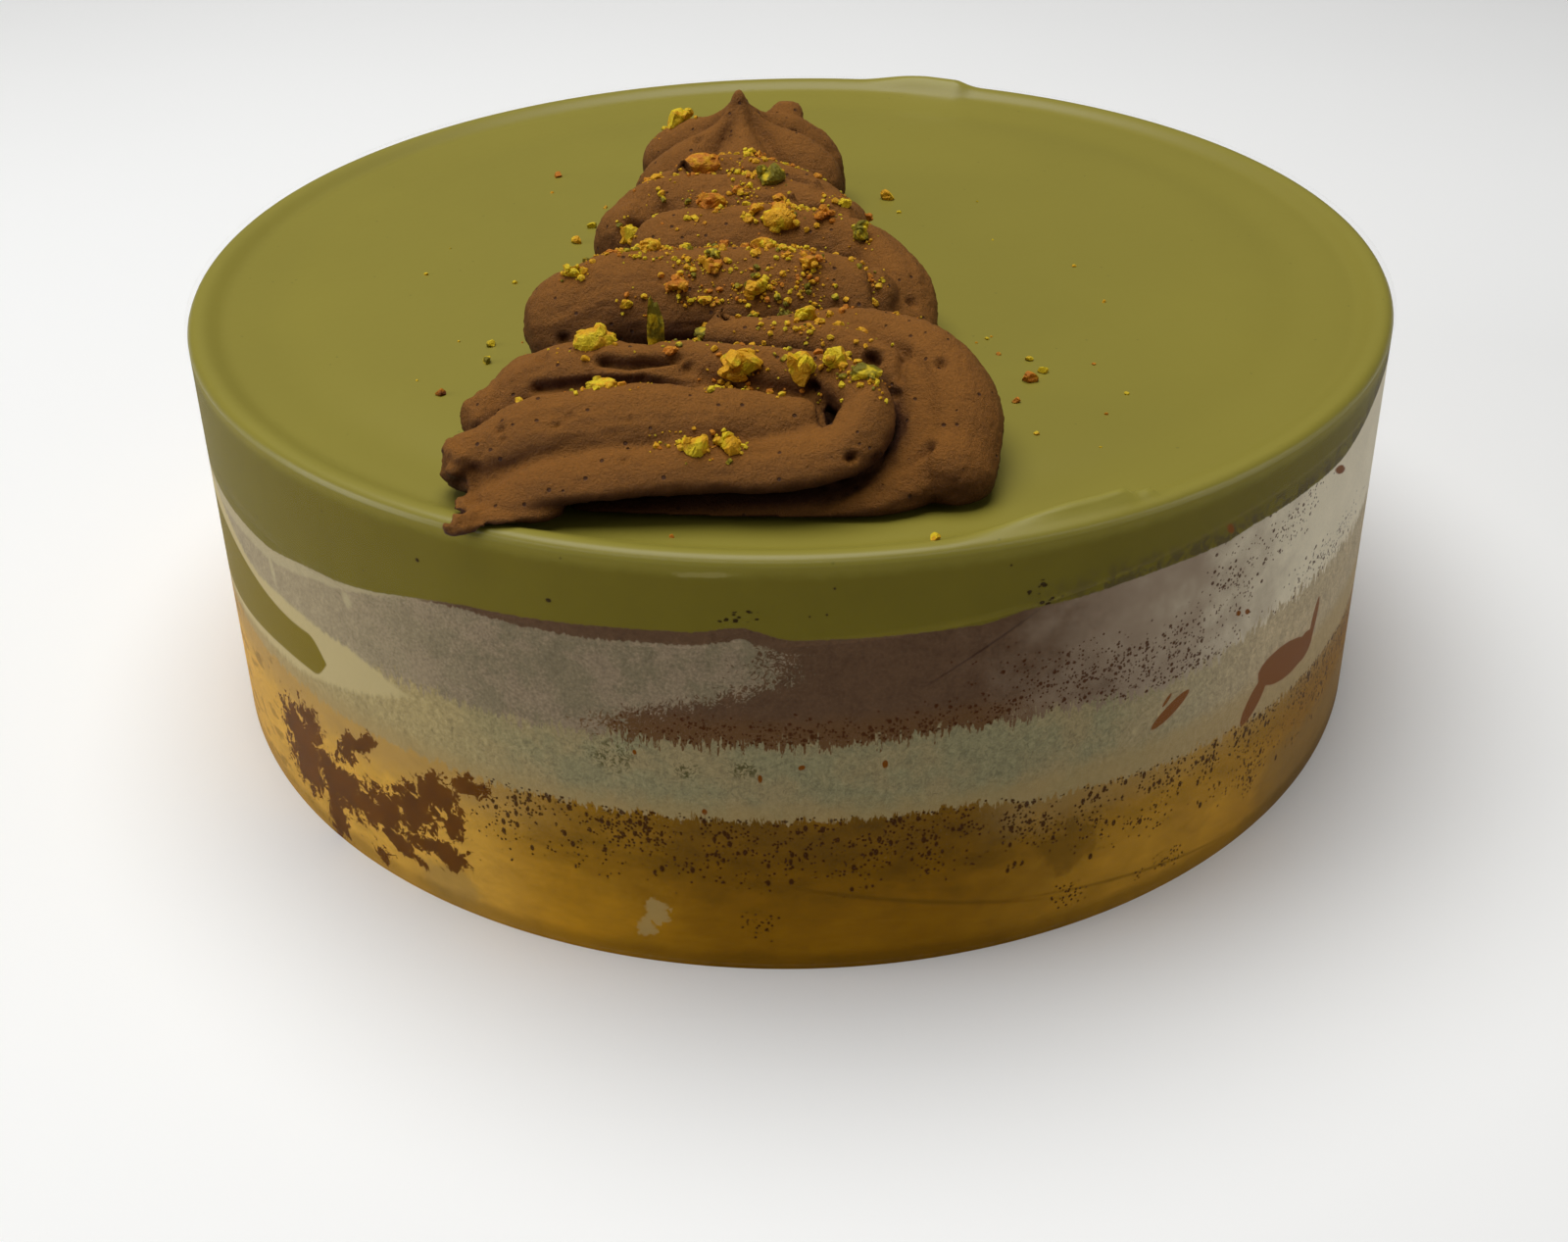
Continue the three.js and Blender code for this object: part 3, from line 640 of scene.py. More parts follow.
def settle(piece, materials, slot, replaced=None, smooth=math.pi):
    """Ends a piece: its finishes, the body it rides on and the solid it stands for.

    Smooth is the angle up to which edges are shaded smooth.
    """
    select_only(piece)
    if smooth == math.pi:
        bpy.ops.object.shade_smooth()
    elif smooth:
        bpy.ops.object.shade_smooth_by_angle(angle=smooth)
    piece.data.materials.clear()
    for material in materials:
        piece.data.materials.append(material)
    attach(piece, "root")
    if replaced:
        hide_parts(replaced)
    clear_selection()


def ring_stack(name, segments, rings):
    """A closed round body grown ring by ring from a filled circle, in shares of its size."""
    clear_selection()
    radius, height = rings[0]
    bpy.ops.mesh.primitive_circle_add(
        vertices=segments, radius=radius, fill_type="NGON", location=(0, 0, height))
    piece = bpy.context.object
    piece.name = name
    bpy.ops.object.mode_set(mode="EDIT")
    bpy.ops.mesh.select_all(action="SELECT")
    for next_radius, next_height in rings[1:]:
        share = next_radius / radius
        bpy.ops.mesh.extrude_region_move(
            TRANSFORM_OT_translate={"value": (0, 0, next_height - height)})
        bpy.ops.transform.resize(value=(share, share, 1), center_override=(0, 0, next_height))
        radius, height = next_radius, next_height
    bpy.ops.mesh.poke()
    bpy.ops.object.mode_set(mode="OBJECT")
    bpy.ops.object.transform_apply(location=True, rotation=True, scale=True)
    face_outwards(piece)
    return piece


def drape_layer(name, segments, under, over, side_rows, top_shares):
    """A layer: a drum of unit size whose ends are laid on the boundaries under and over it."""
    side = [(1, row / side_rows) for row in range(side_rows + 1)]
    rings = [(UNDERSIDE_RING, 0), *side, *[(share, 1) for share in top_shares]]
    piece = ring_stack(name, segments, rings)
    unit = corners(piece) * MM
    angle, share = polar(unit)
    rim = cake_radius(COLLAR_HEIGHT)
    low_rim = under(rim * np.cos(angle), rim * np.sin(angle))
    high_rim = over(rim * np.cos(angle), rim * np.sin(angle))
    between = low_rim + unit[:, 2] * (high_rim - low_rim)
    out = share * cake_radius(between)
    x, y = out * np.cos(angle), out * np.sin(angle)
    inside = share < INSIDE_SHARE
    z = np.where(inside & (unit[:, 2] < 0.5), under(x, y), between)
    z = np.where(inside & (unit[:, 2] > 0.5), over(x, y), z)
    put_corners(piece, np.stack([x, y, z], 1))
    return piece


# ---- Marks on the cake's side ----

# Lines round the side: the height at the left, then climbs as (from angle, to angle, rise).
GLAZE_LINE = (37.4, [
    (-52, -41, 1.6), (-42, -24, 3.3), (-26, -8, 0.9), (-8, -4, 0.7), (-4, 0, -1.4), (14, 18, 0.8),
    (20, 30, 0.5), (36, 40, 0.5), (52, 68, 3.6),
])
CREAM_TOP = (30.6, [(-26, -12, -0.7), (5, 12, 0.5), (22, 27, -1.4), (33, 46, 2)])
CREAM_FOOT = (20.4, [(14, 20, -1.3), (22, 34, -1.1), (34, 46, -0.9)])
TONGUE_TOP = (33.4, [(-68, -47, -4.2), (-45.5, -41, -5.5)])
TONGUE_FOOT = (22.2, [(-68, -48, 1.7), (-45.5, -41, 5)])
HALO_TOP = (36.2, [(-67, -53, -4.6), (-50, -38, -1), (-40, -31, -2.7)])
HALO_FOOT = (21.5, [(-66, -52, 1), (-50, -40, 1.9), (-42, -31, 3.6)])

# Millimetres of the side for each degree.
SIDE_SCALE = math.radians(1) * BASE_RADIUS
# Marks on the side: angle, height, half length, half width and turn. Some go on with how rough and
# how soft the edge is.
COCOA_PATCHES = [
    (-44.5, 9.2, 9, 3.4, -10), (-51, 12, 3.8, 3.6, 10), (-48, 14.6, 2.6, 2.8, 30),
    (-45.4, 3.4, 2, 4.6, 0), (-38, 9.6, 6, 2.8, 16), (-34, 12.4, 3.8, 2.8, 30),
    (-31.5, 15.4, 3.6, 2.4, 20), (-29.8, 12.6, 1.4, 2.6, 10), (-27.4, 18.6, 2.6, 1.1, 10),
    (-42.2, 15.4, 1.3, 3.2, -20), (-39.4, 18, 2.4, 1, 50), (-32.4, 7.8, 4.2, 1.1, 10),
    (-39, 2.2, 1, 1, 0), (-36.6, 5.8, 3.2, 1.2, -20),
    (-50, 7.5, 4, 3.4, 0), (-30.4, 7, 2, 1.3, 10),
]
CREAM_SMEARS = [
    (31.8, 25.3, 3, 0.8, 32), (31.3, 26.8, 0.9, 0.25, 50), (47, 22.3, 5.8, 2.5, -10),
    (42.7, 20.1, 3.4, 1.3, 50), (50.6, 21.8, 2.4, 1.9, 10), (52.2, 23.9, 3.4, 0.75, 78),
]
SPONGE_GREY = [(-31, 3.2, 4.2, 2.6, 0, 0.9, 0.4)]
SPONGE_MARKS = [
    (22.6, 11.6, 3.4, 3.4, 0, 2.2, 0.25), (10, 8.3, 14, 0.3, -13, 0.5, 0.6),
    (30, 3.9, 16, 0.22, -8, 0.5, 0.6),
]
SPONGE_PALE = [(-11.6, 7, 1.2, 1.9, 0, 3.4, 0.2), (-12.4, 4.6, 1.2, 1.5, 0, 3.4, 0.2)]
CRUMB_CLUMPS = [
    (-3, 6, 1.6, 1.8, 0), (43.5, 9.5, 2.2, 2.6, 0), (23, 4.4, 2, 1.6, 0), (33, 4.2, 2.4, 1.2, 0),
    (18.4, 16.8, 1, 1.4, 0), (30, 3.6, 0.8, 0.8, 0),
]
CREAM_CURLS = [
    (-14.5, 27.4, 2.4, 1.9, 0, 1.2, 0.5), (-8.5, 26.6, 1.2, 1.2, 0, 1, 0.5),
    (-4, 27, 1.4, 1.1, 0, 1, 0.5),
]
CREASES = [(14.7, 40, 7, 0.14, 30, 0.1, 0.6)]
BUBBLES = [(-4, 41.2, 1.5, 1.5, 0, 0.08, 0.06)]
FROST_PALE = [(-50.4, 34.4, 0.5, 2.2, 10, 2, 0.4), (-38.8, 37.3, 0.7, 1, 0, 2, 0.4)]
HIGH_CRUMBS = [
    (45, 41.8, 5, 2.8, 10), (38, 38.6, 4, 4, 0), (53, 33.2, 9, 2, 4), (48, 44.2, 7, 1.2, 10),
]
GLAZE_CLUMPS = [
    (-4, 45.2, 2.6, 0.7, 8, 1, 0.4), (-1.6, 46.1, 0.9, 0.5), (18.3, 45.4, 1.4, 0.9, 20),
    (19.4, 43.9, 1.8, 0.5, 10),
]
GLAZE_DOTS = [(-18.5, 45, 0.35, 0.25, 0, 1, 0.3), (-30, 46, 0.25, 0.25, 0, 1, 0.3)]
# A thin pale line just under the top of the side.
PALE_LINES = [(-6.5, 49.7, 3, 0.3, 2, 2.6, 0.4)]
FLAKES = [
    (36.5, 45.3, 0.8, 0.4, -50), (53.5, 43.1, 1.8, 0.5, -24), (38.8, 33.8, 0.5, 0.3, -40),
    (40, 33.3, 0.5, 0.3, -40), (-2.8, 25.9, 0.25, 0.5, 0), (-7.2, 21.4, 0.3, 0.4, 0),
    (-12.5, 28.2, 0.2, 0.3, 0), (0.4, 27.3, 0.4, 0.3, 30), (6.8, 27.2, 0.3, 0.5, 0),
]


class SidePaint(Sheet):
    """The colour of the cake's side through the film, by angle and height. Its colours are kept
    darker than the layers' own: partly the haze of the film and partly painted shade on the upright
    side.
    """

    def __init__(self, name, colours):
        super().__init__(name)
        self.colours = colours
        self.here = self.place()
        x, y, self.height = self.parts(self.here)
        self.angle = self.maths("ARCTAN2", x, -y) * math.degrees(1)
        self.spot = self.node("ShaderNodeCombineXYZ", None,
                              {0: self.angle * SIDE_SCALE, 1: self.height, 2: 1})
        self.ragged = self.noise(self.here, 0.55, 3, 0.7) - 0.5
        self.feather = self.noise(self.place((1, 1, 0.24)), 1.7, 3, 0.75) - 0.5
        self.grain = self.noise(self.here, 2.8, 2, 0.65) - 0.5
        self.cloud = self.noise(self.here, 0.2, 3, 0.6) - 0.5
        self.torn = self.noise(self.here, 0.72, 3, 0.75, 0.6) - 0.5

    def between(self, start, end):
        """0 up to the start angle and 1 from the end angle. Start may be above end."""
        return self.ramp(self.angle, start, end)

    def line(self, table):
        """A line round the side, as a height at each angle."""
        height, climbs = table
        for start, end, rise in climbs:
            height = self.between(start, end) * rise + height
        return height

    def over(self, line, feather=0.0, soft=0.2):
        """1 above a line, with an edge that may be feathery."""
        return self.ramp(self.height + self.feather * feather - line, -soft, soft)

    def away(self, angle, height, half_long, half_wide, turn=0):
        """How far out of an ellipse round a point of the side: 1 at its edge."""
        u, v = angle * SIDE_SCALE, height
        c, s = math.cos(math.radians(turn)), math.sin(math.radians(turn))
        along, across = (
            self.vector("DOT_PRODUCT", self.spot, tuple(part / half for part in row), output=1)
            for row, half in (((c, s, -(u * c + v * s)), half_long),
                              ((-s, c, u * s - v * c), half_wide)))
        both = self.node("ShaderNodeCombineXYZ", None, {0: along, 1: across})
        return self.vector("LENGTH", both, output=1)

    def blot(self, angle, height, half_long, half_wide, turn=0, rough=0.6, soft=0.12):
        """An ellipse on the side, in mm, with a rough edge."""
        far = self.away(angle, height, half_long, half_wide, turn)
        far = self.maths("MULTIPLY_ADD", self.ragged, rough, far)
        return self.ramp(far, 1 + soft, 1 - soft)

    def marks(self, rows, *edge):
        """All the blots of a table in one mask."""
        return self.either(*[self.blot(*row, *edge) for row in rows])

    def either(self, *masks):
        whole = masks[0]
        for mask in masks[1:]:
            whole = self.maths("MAXIMUM", whole, mask)
        return whole

    def sponge(self):
        """Golden sponge: bright at the left, deep in front and darker towards the cream."""
        between, ramp, mix = self.between, self.ramp, self.mix
        gold = mix(between(-31, -18), self.colours.sponge_light, "ac7c14")
        gold = mix(between(-20, -4), gold, self.colours.sponge_deep)
        gold = mix(between(10, 32), gold, "b38424")
        gold = mix(between(38, 54), gold, "976b1c")
        streaks = self.noise(self.place((1, 1, 2.5)), 0.22, 3, 0.65) - 0.5
        climb = ramp(self.height, 4, 16) * between(-32, -16) * (1 - between(18, 34) * 0.5) * 0.5
        gold = self.tint(gold, 1.14 - climb + self.cloud * 0.5 + streaks * 0.7 + self.grain * 0.4)
        middle = between(-27, -16) * between(19, 13)
        sandy = ramp(self.height + self.ragged * 4, 13, 19) * (1 - middle * 0.92)
        gold = mix(sandy * 0.6, gold, "a08350")
        right_foot = between(41, 50) * ramp(self.height + self.ragged * 6, 11, 7)
        gold = mix(self.either(self.marks(SPONGE_GREY), right_foot) * 0.4, gold, "7c6d49")
        foot = ramp(self.height + self.ragged * 1.2, 2.8, 1.4) * 0.35
        dents = ramp(streaks * between(-48, -56), 0.03, 0.12) * 0.5
        dark = self.either(self.marks(SPONGE_MARKS) * 0.45, foot, dents)
        gold = mix(dark, gold, "5a3d04")
        return mix(self.marks(SPONGE_PALE) * 0.7, gold, "b39a62")

    def patches(self):
        """Big ragged patches of cocoa sponge at the left."""
        far = self.away(*COCOA_PATCHES[0])
        for patch in COCOA_PATCHES[1:]:
            far = self.maths("MINIMUM", far, self.away(*patch))
        return self.ramp(far + self.torn * 4.2, 1.16, 1)

    def crumbs(self):
        """Dark crumbs of the sponge under the cream's edge, and some clumps lower down."""
        ramp = self.ramp
        under = self.line(CREAM_FOOT) - self.height
        zone = ramp(under, 11, 2.5) * ramp(under, -0.8, 0.2)
        zone = zone * self.between(-29, -24) * self.between(80, 62)
        zone = zone * ramp(self.cloud + self.ragged * 0.7, -0.14, 0.06)
        fine = self.either(zone * 0.75, self.marks(CRUMB_CLUMPS, 0.8, 0.7) * 0.9)
        return self.either(self.specks(self.place((1, 1, 0.6)), 1.25, 0.42, zone * 0.75),
                           self.specks(self.here, 2.3, 0.48, fine))

    def cream(self):
        """Frosted cream: cooler in the middle and warmer at both sides."""
        flakes = self.noise(self.here, 1.6, 3, 0.85, 0.9) - 0.5
        cool = self.mix(self.ramp(self.cloud, -0.12, 0.14), "928a66", self.colours.frost)
        cool = self.mix(self.between(22, 44), cool, "b5a27f")
        cool = self.mix(self.between(-16, -34), cool, "ab9868")
        light = 0.98 + self.cloud * 0.3 + flakes * 1.5 + self.feather * 0.5
        frost = self.tint(cool, light)
        curls = self.ramp(flakes, -0.01, -0.07) * self.marks(CREAM_CURLS) * 0.8
        frost = self.mix(curls, frost, "4d4722")
        warm = self.ramp(self.height + self.ragged * 3, 24, 20.5) * 0.6
        return self.mix(warm, frost, "a88d58")

    def mousse(self):
        """Dark mousse, which turns pale lilac grey to the right: partly frost on the film and
        partly a painted reflection of the bright light at the right.
        """
        light = 1 + self.cloud * 0.4 + self.torn * 0.7 + self.grain * 0.8
        mousse = self.tint(self.colours.mousse, light)
        low = self.ramp(self.height + self.ragged * 2, 34.5, 31.5) * self.between(26, 18)
        mousse = self.mix(low * 0.6, mousse, "6e4c28")
        mousse = self.mix(self.marks(CREASES) * 0.6, mousse, "33211a")
        # Painted reflection with frost: to the right the mousse fades through grey to pale lilac
        # grey.
        across = self.angle + self.cloud * 22
        mousse = self.mix(self.ramp(across, 12, 32), mousse, "98856f")
        pale = self.tint("dcd0b4", 1 + self.grain * 0.2 + self.cloud * 0.2)
        return self.mix(self.ramp(across, 28, 50), mousse, pale)

    def haze_edge(self):
        """Where frost covers the mousse: at the left, as far as fronds near the middle."""
        fronds = self.noise(self.here, 1.1, 3, 0.85, 2.2) - 0.5
        edge = self.ramp(self.height, 31.5, 38) * 12.5 - 14.5
        beside = self.ramp(self.angle + fronds * 22 + self.ragged * 6 - edge, 0.4, -0.4)
        top = self.line(GLAZE_LINE) - self.between(-34, -14) * 1.5
        under = 1 - self.over(top, 1.4, 0.12)
        return self.either(beside * self.between(-150, -120) * under, self.marks(BUBBLES))

    def haze(self):
        """The colour of that frost, paler to the left."""
        shade = self.ramp(self.cloud + self.grain * 0.3, -0.1, 0.12)
        haze = self.mix(shade, "83765c", "928067")
        haze = self.mix(self.between(-20, -48), haze, "a39373")
        return self.tint(haze, 1 + self.grain * 0.9 + self.ragged * 0.4 + self.torn * 0.4)

    def mousse_crumbs(self):
        """Orange and dark crumbs along the foot of the mousse and over its right part."""
        ramp, between = self.ramp, self.between
        above = self.height - self.line(CREAM_TOP)
        low = ramp(above, -0.2, 0.6) * ramp(above, 4.4, 1) * between(-16, -6) * between(24, 16)
        middle = ramp(above, -0.3, 0.8) * ramp(above, 10, 3) * between(9, 24) * between(41, 32)
        zone = self.either(low, middle, self.marks(HIGH_CRUMBS, 0.8, 0.8) * 0.62)
        zone = zone * ramp(self.ragged, -0.14, 0.04)
        return self.either(self.specks(self.here, 1.5, 0.45, zone * 0.6),
                           self.specks(self.here, 2.8, 0.48, zone * 0.8))

    def glaze(self):
        """Glaze on the side, with the scraps of mousse and crumbs that stick to it."""
        # Painted shade with the film's haze: the glaze on the side is darker than the glaze on top.
        light = 1 - self.between(8, 26) * 0.13 + self.cloud * 0.2 + self.grain * 0.16
        green = self.tint("756920", light)
        up = self.height - self.line(GLAZE_LINE)
        near = self.ramp(up + self.ragged * 5, 3.2, 0.5) * self.between(14, 26)
        green = self.mix(near * self.ramp(self.torn, -0.1, 0.05) * 0.7, green, "463a28")
        # Painted highlight: a lighter band just under the top of the side, where the rounded lip
        # catches the light.
        lip = self.ramp(self.height + self.ragged, 48.9, 50.4) * 0.6
        green = self.mix(lip, green, "958a3a")
        clumps = self.marks(GLAZE_CLUMPS) * 0.75
        scraps = self.either(self.specks(self.place((0.7, 0.7, 1)), 1.9, 0.5, clumps),
                             self.marks(GLAZE_DOTS), self.specks(self.here, 0.4, 0.07, 0.7))
        green = self.mix(scraps, green, "33250c")
        return self.mix(self.marks(PALE_LINES) * 0.6, green, "a39858")

    def whole(self):
        """All layers in one, so that frost and crumbs may cross from one layer to the next."""
        mix, over, line, between = self.mix, self.over, self.line, self.between
        cocoa = self.tint(self.colours.sponge_dark, 1 + self.cloud * 0.6 + self.ragged * 0.9)
        colour = mix(self.patches(), self.sponge(), cocoa)
        colour = mix(over(line(CREAM_FOOT), 4.4, 0.25), colour, self.cream())
        colour = mix(self.crumbs() * 0.92, colour, "3a1c04")
        colour = mix(over(line(CREAM_TOP), 8, 0.25), colour, self.mousse())
        colour = mix(self.haze_edge() * over(29.8, 8, 0.4), colour, self.haze())
        rim = over(line(GLAZE_LINE) - between(-28, -50) * 1.7, 1.2, 0.3) * between(-26, -32)
        colour = mix(self.either(self.marks(FROST_PALE), rim) * 0.5, colour, "c2b48a")
        left = self.ramp(self.angle + self.ragged * 20, -106, -98)
        halo = over(line(HALO_FOOT), 2, 0.5) * (1 - over(line(HALO_TOP), 2, 0.4))
        halo = halo * between(-31, -35) * left
        colour = mix(halo, colour, self.tint(self.colours.cream, 1 + self.grain * 0.2))
        colour = mix(self.mousse_crumbs() * 0.9, colour, "462307")
        colour = mix(self.marks(CREAM_SMEARS, 0.16, 0.05), colour, self.colours.lens)
        tongue = over(line(TONGUE_FOOT), 0.1) * (1 - over(line(TONGUE_TOP), 0.1))
        colour = mix(tongue * left, colour, "7c6a08")
        colour = mix(over(line(GLAZE_LINE), 0.5, 0.1), colour, self.glaze())
        return mix(self.marks(FLAKES, 0.8, 0.2), colour, "7a4410")


def side_material(colours):
    side = SidePaint("cake_side", colours)
    return side.finish(side.whole(), 0.75, Specular_IOR_Level=0.05)


def glaze_material(colours):
    sheet = Sheet("pistachio_glaze")
    place = sheet.place()
    cloud = sheet.noise(place, 0.035, 3, 0.5)
    top = sheet.tint(colours.glaze, 0.94 + cloud * 0.12)
    top = sheet.mix(sheet.specks(place, 0.33, 0.07, 0.6) * 0.45, top, "5f5a22")
    # Painted highlight: the glaze is lighter where it rises on the smears and the lip.
    raised_highlight = sheet.ramp(sheet.parts(place)[2], *RAISED_HIGHLIGHT) * 0.3
    top = sheet.mix(raised_highlight, top, "9c9440")
    ripple = sheet.noise(place, 0.12, 3, 0.5) + sheet.noise(place, 1.1, 3, 0.6) * 0.06
    return sheet.finish(top, 0.55, Specular_IOR_Level=0.12, Coat_Weight=0.4, Coat_Roughness=0.3,
                        Normal=sheet.bump(ripple, 0.35, 0.6 * MM))


# ---- Piping ----

def smooth_row(rows, t):
    """Catmull-Rom through the rows of a table, at row numbers t that may lie between rows."""
    rows = np.asarray(rows, float)
    last = len(rows) - 1
    t = np.clip(t, 0, last)
    i = np.minimum(np.floor(t).astype(int), last - 1)
    f = (t - i)[:, None]
    p0, p1, p2, p3 = (rows[np.clip(i + k, 0, last)] for k in (-1, 0, 1, 2))
    return 0.5 * (2 * p1 + (p2 - p0) * f + (2 * p0 - 5 * p1 + 4 * p2 - p3) * f ** 2
                  + (3 * p1 - p0 - 3 * p2 + p3) * f ** 3)


def strand_stations(rows, step):
    """Stations along a strand and past both its ends: place, heading, size and turn."""
    fine = smooth_row(rows, np.linspace(0, len(rows) - 1, PATH_STEPS * len(rows)))
    lengths = np.concatenate([[0], np.cumsum(np.hypot(*np.diff(fine[:, :2], axis=0).T))])
    total = lengths[-1]
    first_cap, last_cap = CAP_REACH * fine[0, 3], CAP_REACH * fine[-1, 3]
    count = math.ceil((total + first_cap + last_cap) / step)
    along = np.linspace(-first_cap, total + last_cap, count + 1)
    inside = np.clip(along, 0, total)
    station = np.stack([np.interp(inside, lengths, fine[:, k]) for k in range(5)], 1)
    ahead, behind = (
        np.stack([np.interp(inside + reach, lengths, fine[:, k]) for k in (0, 1)], 1)
        for reach in (HEADING_REACH, -HEADING_REACH))
    heading = ahead - behind
    heading /= np.linalg.norm(heading, axis=1)[:, None]
    turned = np.unwrap(np.arctan2(heading[:, 1], heading[:, 0]))
    curvature = np.gradient(turned, np.maximum(np.gradient(along), 1e-6).cumsum())
    station[:, :2] += heading * (along - inside)[:, None]
    size = np.sqrt(np.clip(1 - (np.minimum(along, 0) / first_cap) ** 2, 0, 1))
    size *= np.sqrt(np.clip(1 - (np.maximum(along - total, 0) / last_cap) ** 2, 0, 1))
    return station, heading, size, curvature, along


def make_strand(name, rows):
    """One rib of the rope: a sphere drawn out along its path, with a ridge along its top."""
    ridge, edge, tilt = SECTIONS.get(name, (1, 1, 0))
    station, heading, size, curvature, along = strand_stations(rows, STRAND_STEP)
    clear_selection()
    bpy.ops.mesh.primitive_uv_sphere_add(
        segments=STRAND_SIDES, ring_count=len(along) - 1, radius=1)
    piece = bpy.context.object
    piece.name = name
    ball = corners(piece) * MM
    ring = np.rint(np.arccos(np.clip(ball[:, 2], -1, 1)) / math.pi * (len(along) - 1)).astype(int)
    angle = np.arctan2(ball[:, 1], ball[:, 0])
    x, y, z, width, height = station[ring].T
    c, s = np.cos(angle), np.sin(angle)
    flat_aside = width * size[ring] * np.sign(c) * np.abs(c) ** ridge
    flat_up = height * size[ring] * np.sign(s) * np.abs(s) ** edge
    tilt_c, tilt_s = math.cos(math.radians(tilt)), math.sin(math.radians(tilt))
    aside = flat_aside * tilt_c - flat_up * tilt_s
    up = flat_aside * tilt_s + flat_up * tilt_c
    limit = INNER_REACH / np.maximum(np.abs(curvature[ring]), 1e-4)
    inner = aside * np.sign(curvature[ring]) > 0
    aside = np.where(inner, np.sign(aside) * limit * np.tanh(np.abs(aside) / limit), aside)
    px = x - heading[ring, 1] * aside
    py = y + heading[ring, 0] * aside
    pole = (ring == 0) | (ring == len(along) - 1)
    px, py = np.where(pole, x, px), np.where(pole, y, py)
    level = glaze_level() + GAP
    rest = np.maximum(glaze_top(px, py) + REST_MARGIN + GAP, level)
    pz = level + z + up * np.where(pole, 0, 1)
    put_corners(piece, np.stack([px, py, np.maximum(pz, rest)], 1))
    return piece


def make_dollop():
    """The dollop: a stack of rings with six ribs that twist up to a thin peak."""
    top = DOLLOP_PROFILE[-1][0]
    levels = np.linspace(0, len(DOLLOP_PROFILE) - 1, DOLLOP_LEVELS)
    profile = smooth_row(DOLLOP_PROFILE, levels)
    piece = ring_stack("dollop", DOLLOP_SIDES, [(r, z) for z, r in profile])
    unit = corners(piece) * MM
    angle, radius = polar(unit)
    rib = np.abs(np.cos(angle * RIBS / 2)) ** RIB_ROUND
    out = radius * (1 - RIB_DEPTH * (1 - rib) * smoothstep(*RIB_FADE, radius))
    turned = angle + np.radians(RIB_START + RIB_TWIST * unit[:, 2] / top)
    level = glaze_level() + GAP
    sink = RIB_SINK * (1 - rib) * smoothstep(*SINK_FADE, radius)
    sink = sink * smoothstep(*SINK_HEIGHT, unit[:, 2])
    put_corners(piece, np.stack([
        DOLLOP_CENTRE[0] + out * np.cos(turned), DOLLOP_CENTRE[1] + out * np.sin(turned),
        level + unit[:, 2] - sink], 1))
    return piece


def make_peak(x, y, tip, width):
    rings = [(width * share, tip - under) for under, share in PEAK_LEVELS]
    piece = ring_stack("peak", PEAK_SIDES, rings)
    place = corners(piece) * MM
    level = glaze_level() + GAP
    put_corners(piece, np.stack([
        x + place[:, 0], y + PEAK_FLATNESS * place[:, 1], level + place[:, 2]], 1))
    return piece


def streak_places(places):
    """For each point of the cream: its place along the nearest strand and round it, in mm."""
    lines = []
    for number, rows in enumerate(list(STRANDS.values())[1:], 1):
        station, heading, _, _, along = strand_stations(rows, STREAK_STEP)
        tag = np.full((len(along), 1), float(number))
        lines.append(np.hstack([station, heading, along[:, None], tag]))
    lines = np.vstack(lines)
    level = glaze_level() + GAP
    out = np.zeros((len(places), 3))
    for start in range(0, len(places), STREAK_BATCH):
        some = places[start:start + STREAK_BATCH]
        dx, dy, dz = (some[:, None, k] - lines[None, :, k] for k in range(3))
        dz = dz - level
        far = (dx ** 2 + dy ** 2) / lines[None, :, 3] ** 2 + dz ** 2 / lines[None, :, 4] ** 2
        best = np.argmin(far, 1)
        row = np.arange(len(some))
        line = lines[best]
        aside = dy[row, best] * line[:, 5] - dx[row, best] * line[:, 6]
        round_it = np.arctan2(dz[row, best], aside) * (line[:, 3] + line[:, 4]) / 2
        out[start:start + STREAK_BATCH] = np.stack([line[:, 7], round_it, line[:, 8]], 1)
    return out


def far_from_line(places, line):
    """Distance of each point from a line of several stretches."""
    nearest = np.full(len(places), 1e6)
    for start, end in zip(np.array(line, float), np.array(line, float)[1:]):
        run = end - start
        t = np.clip((places - start) @ run / (run @ run), 0, 1)
        nearest = np.minimum(nearest, np.linalg.norm(places - start - t[:, None] * run, axis=1))
    return nearest


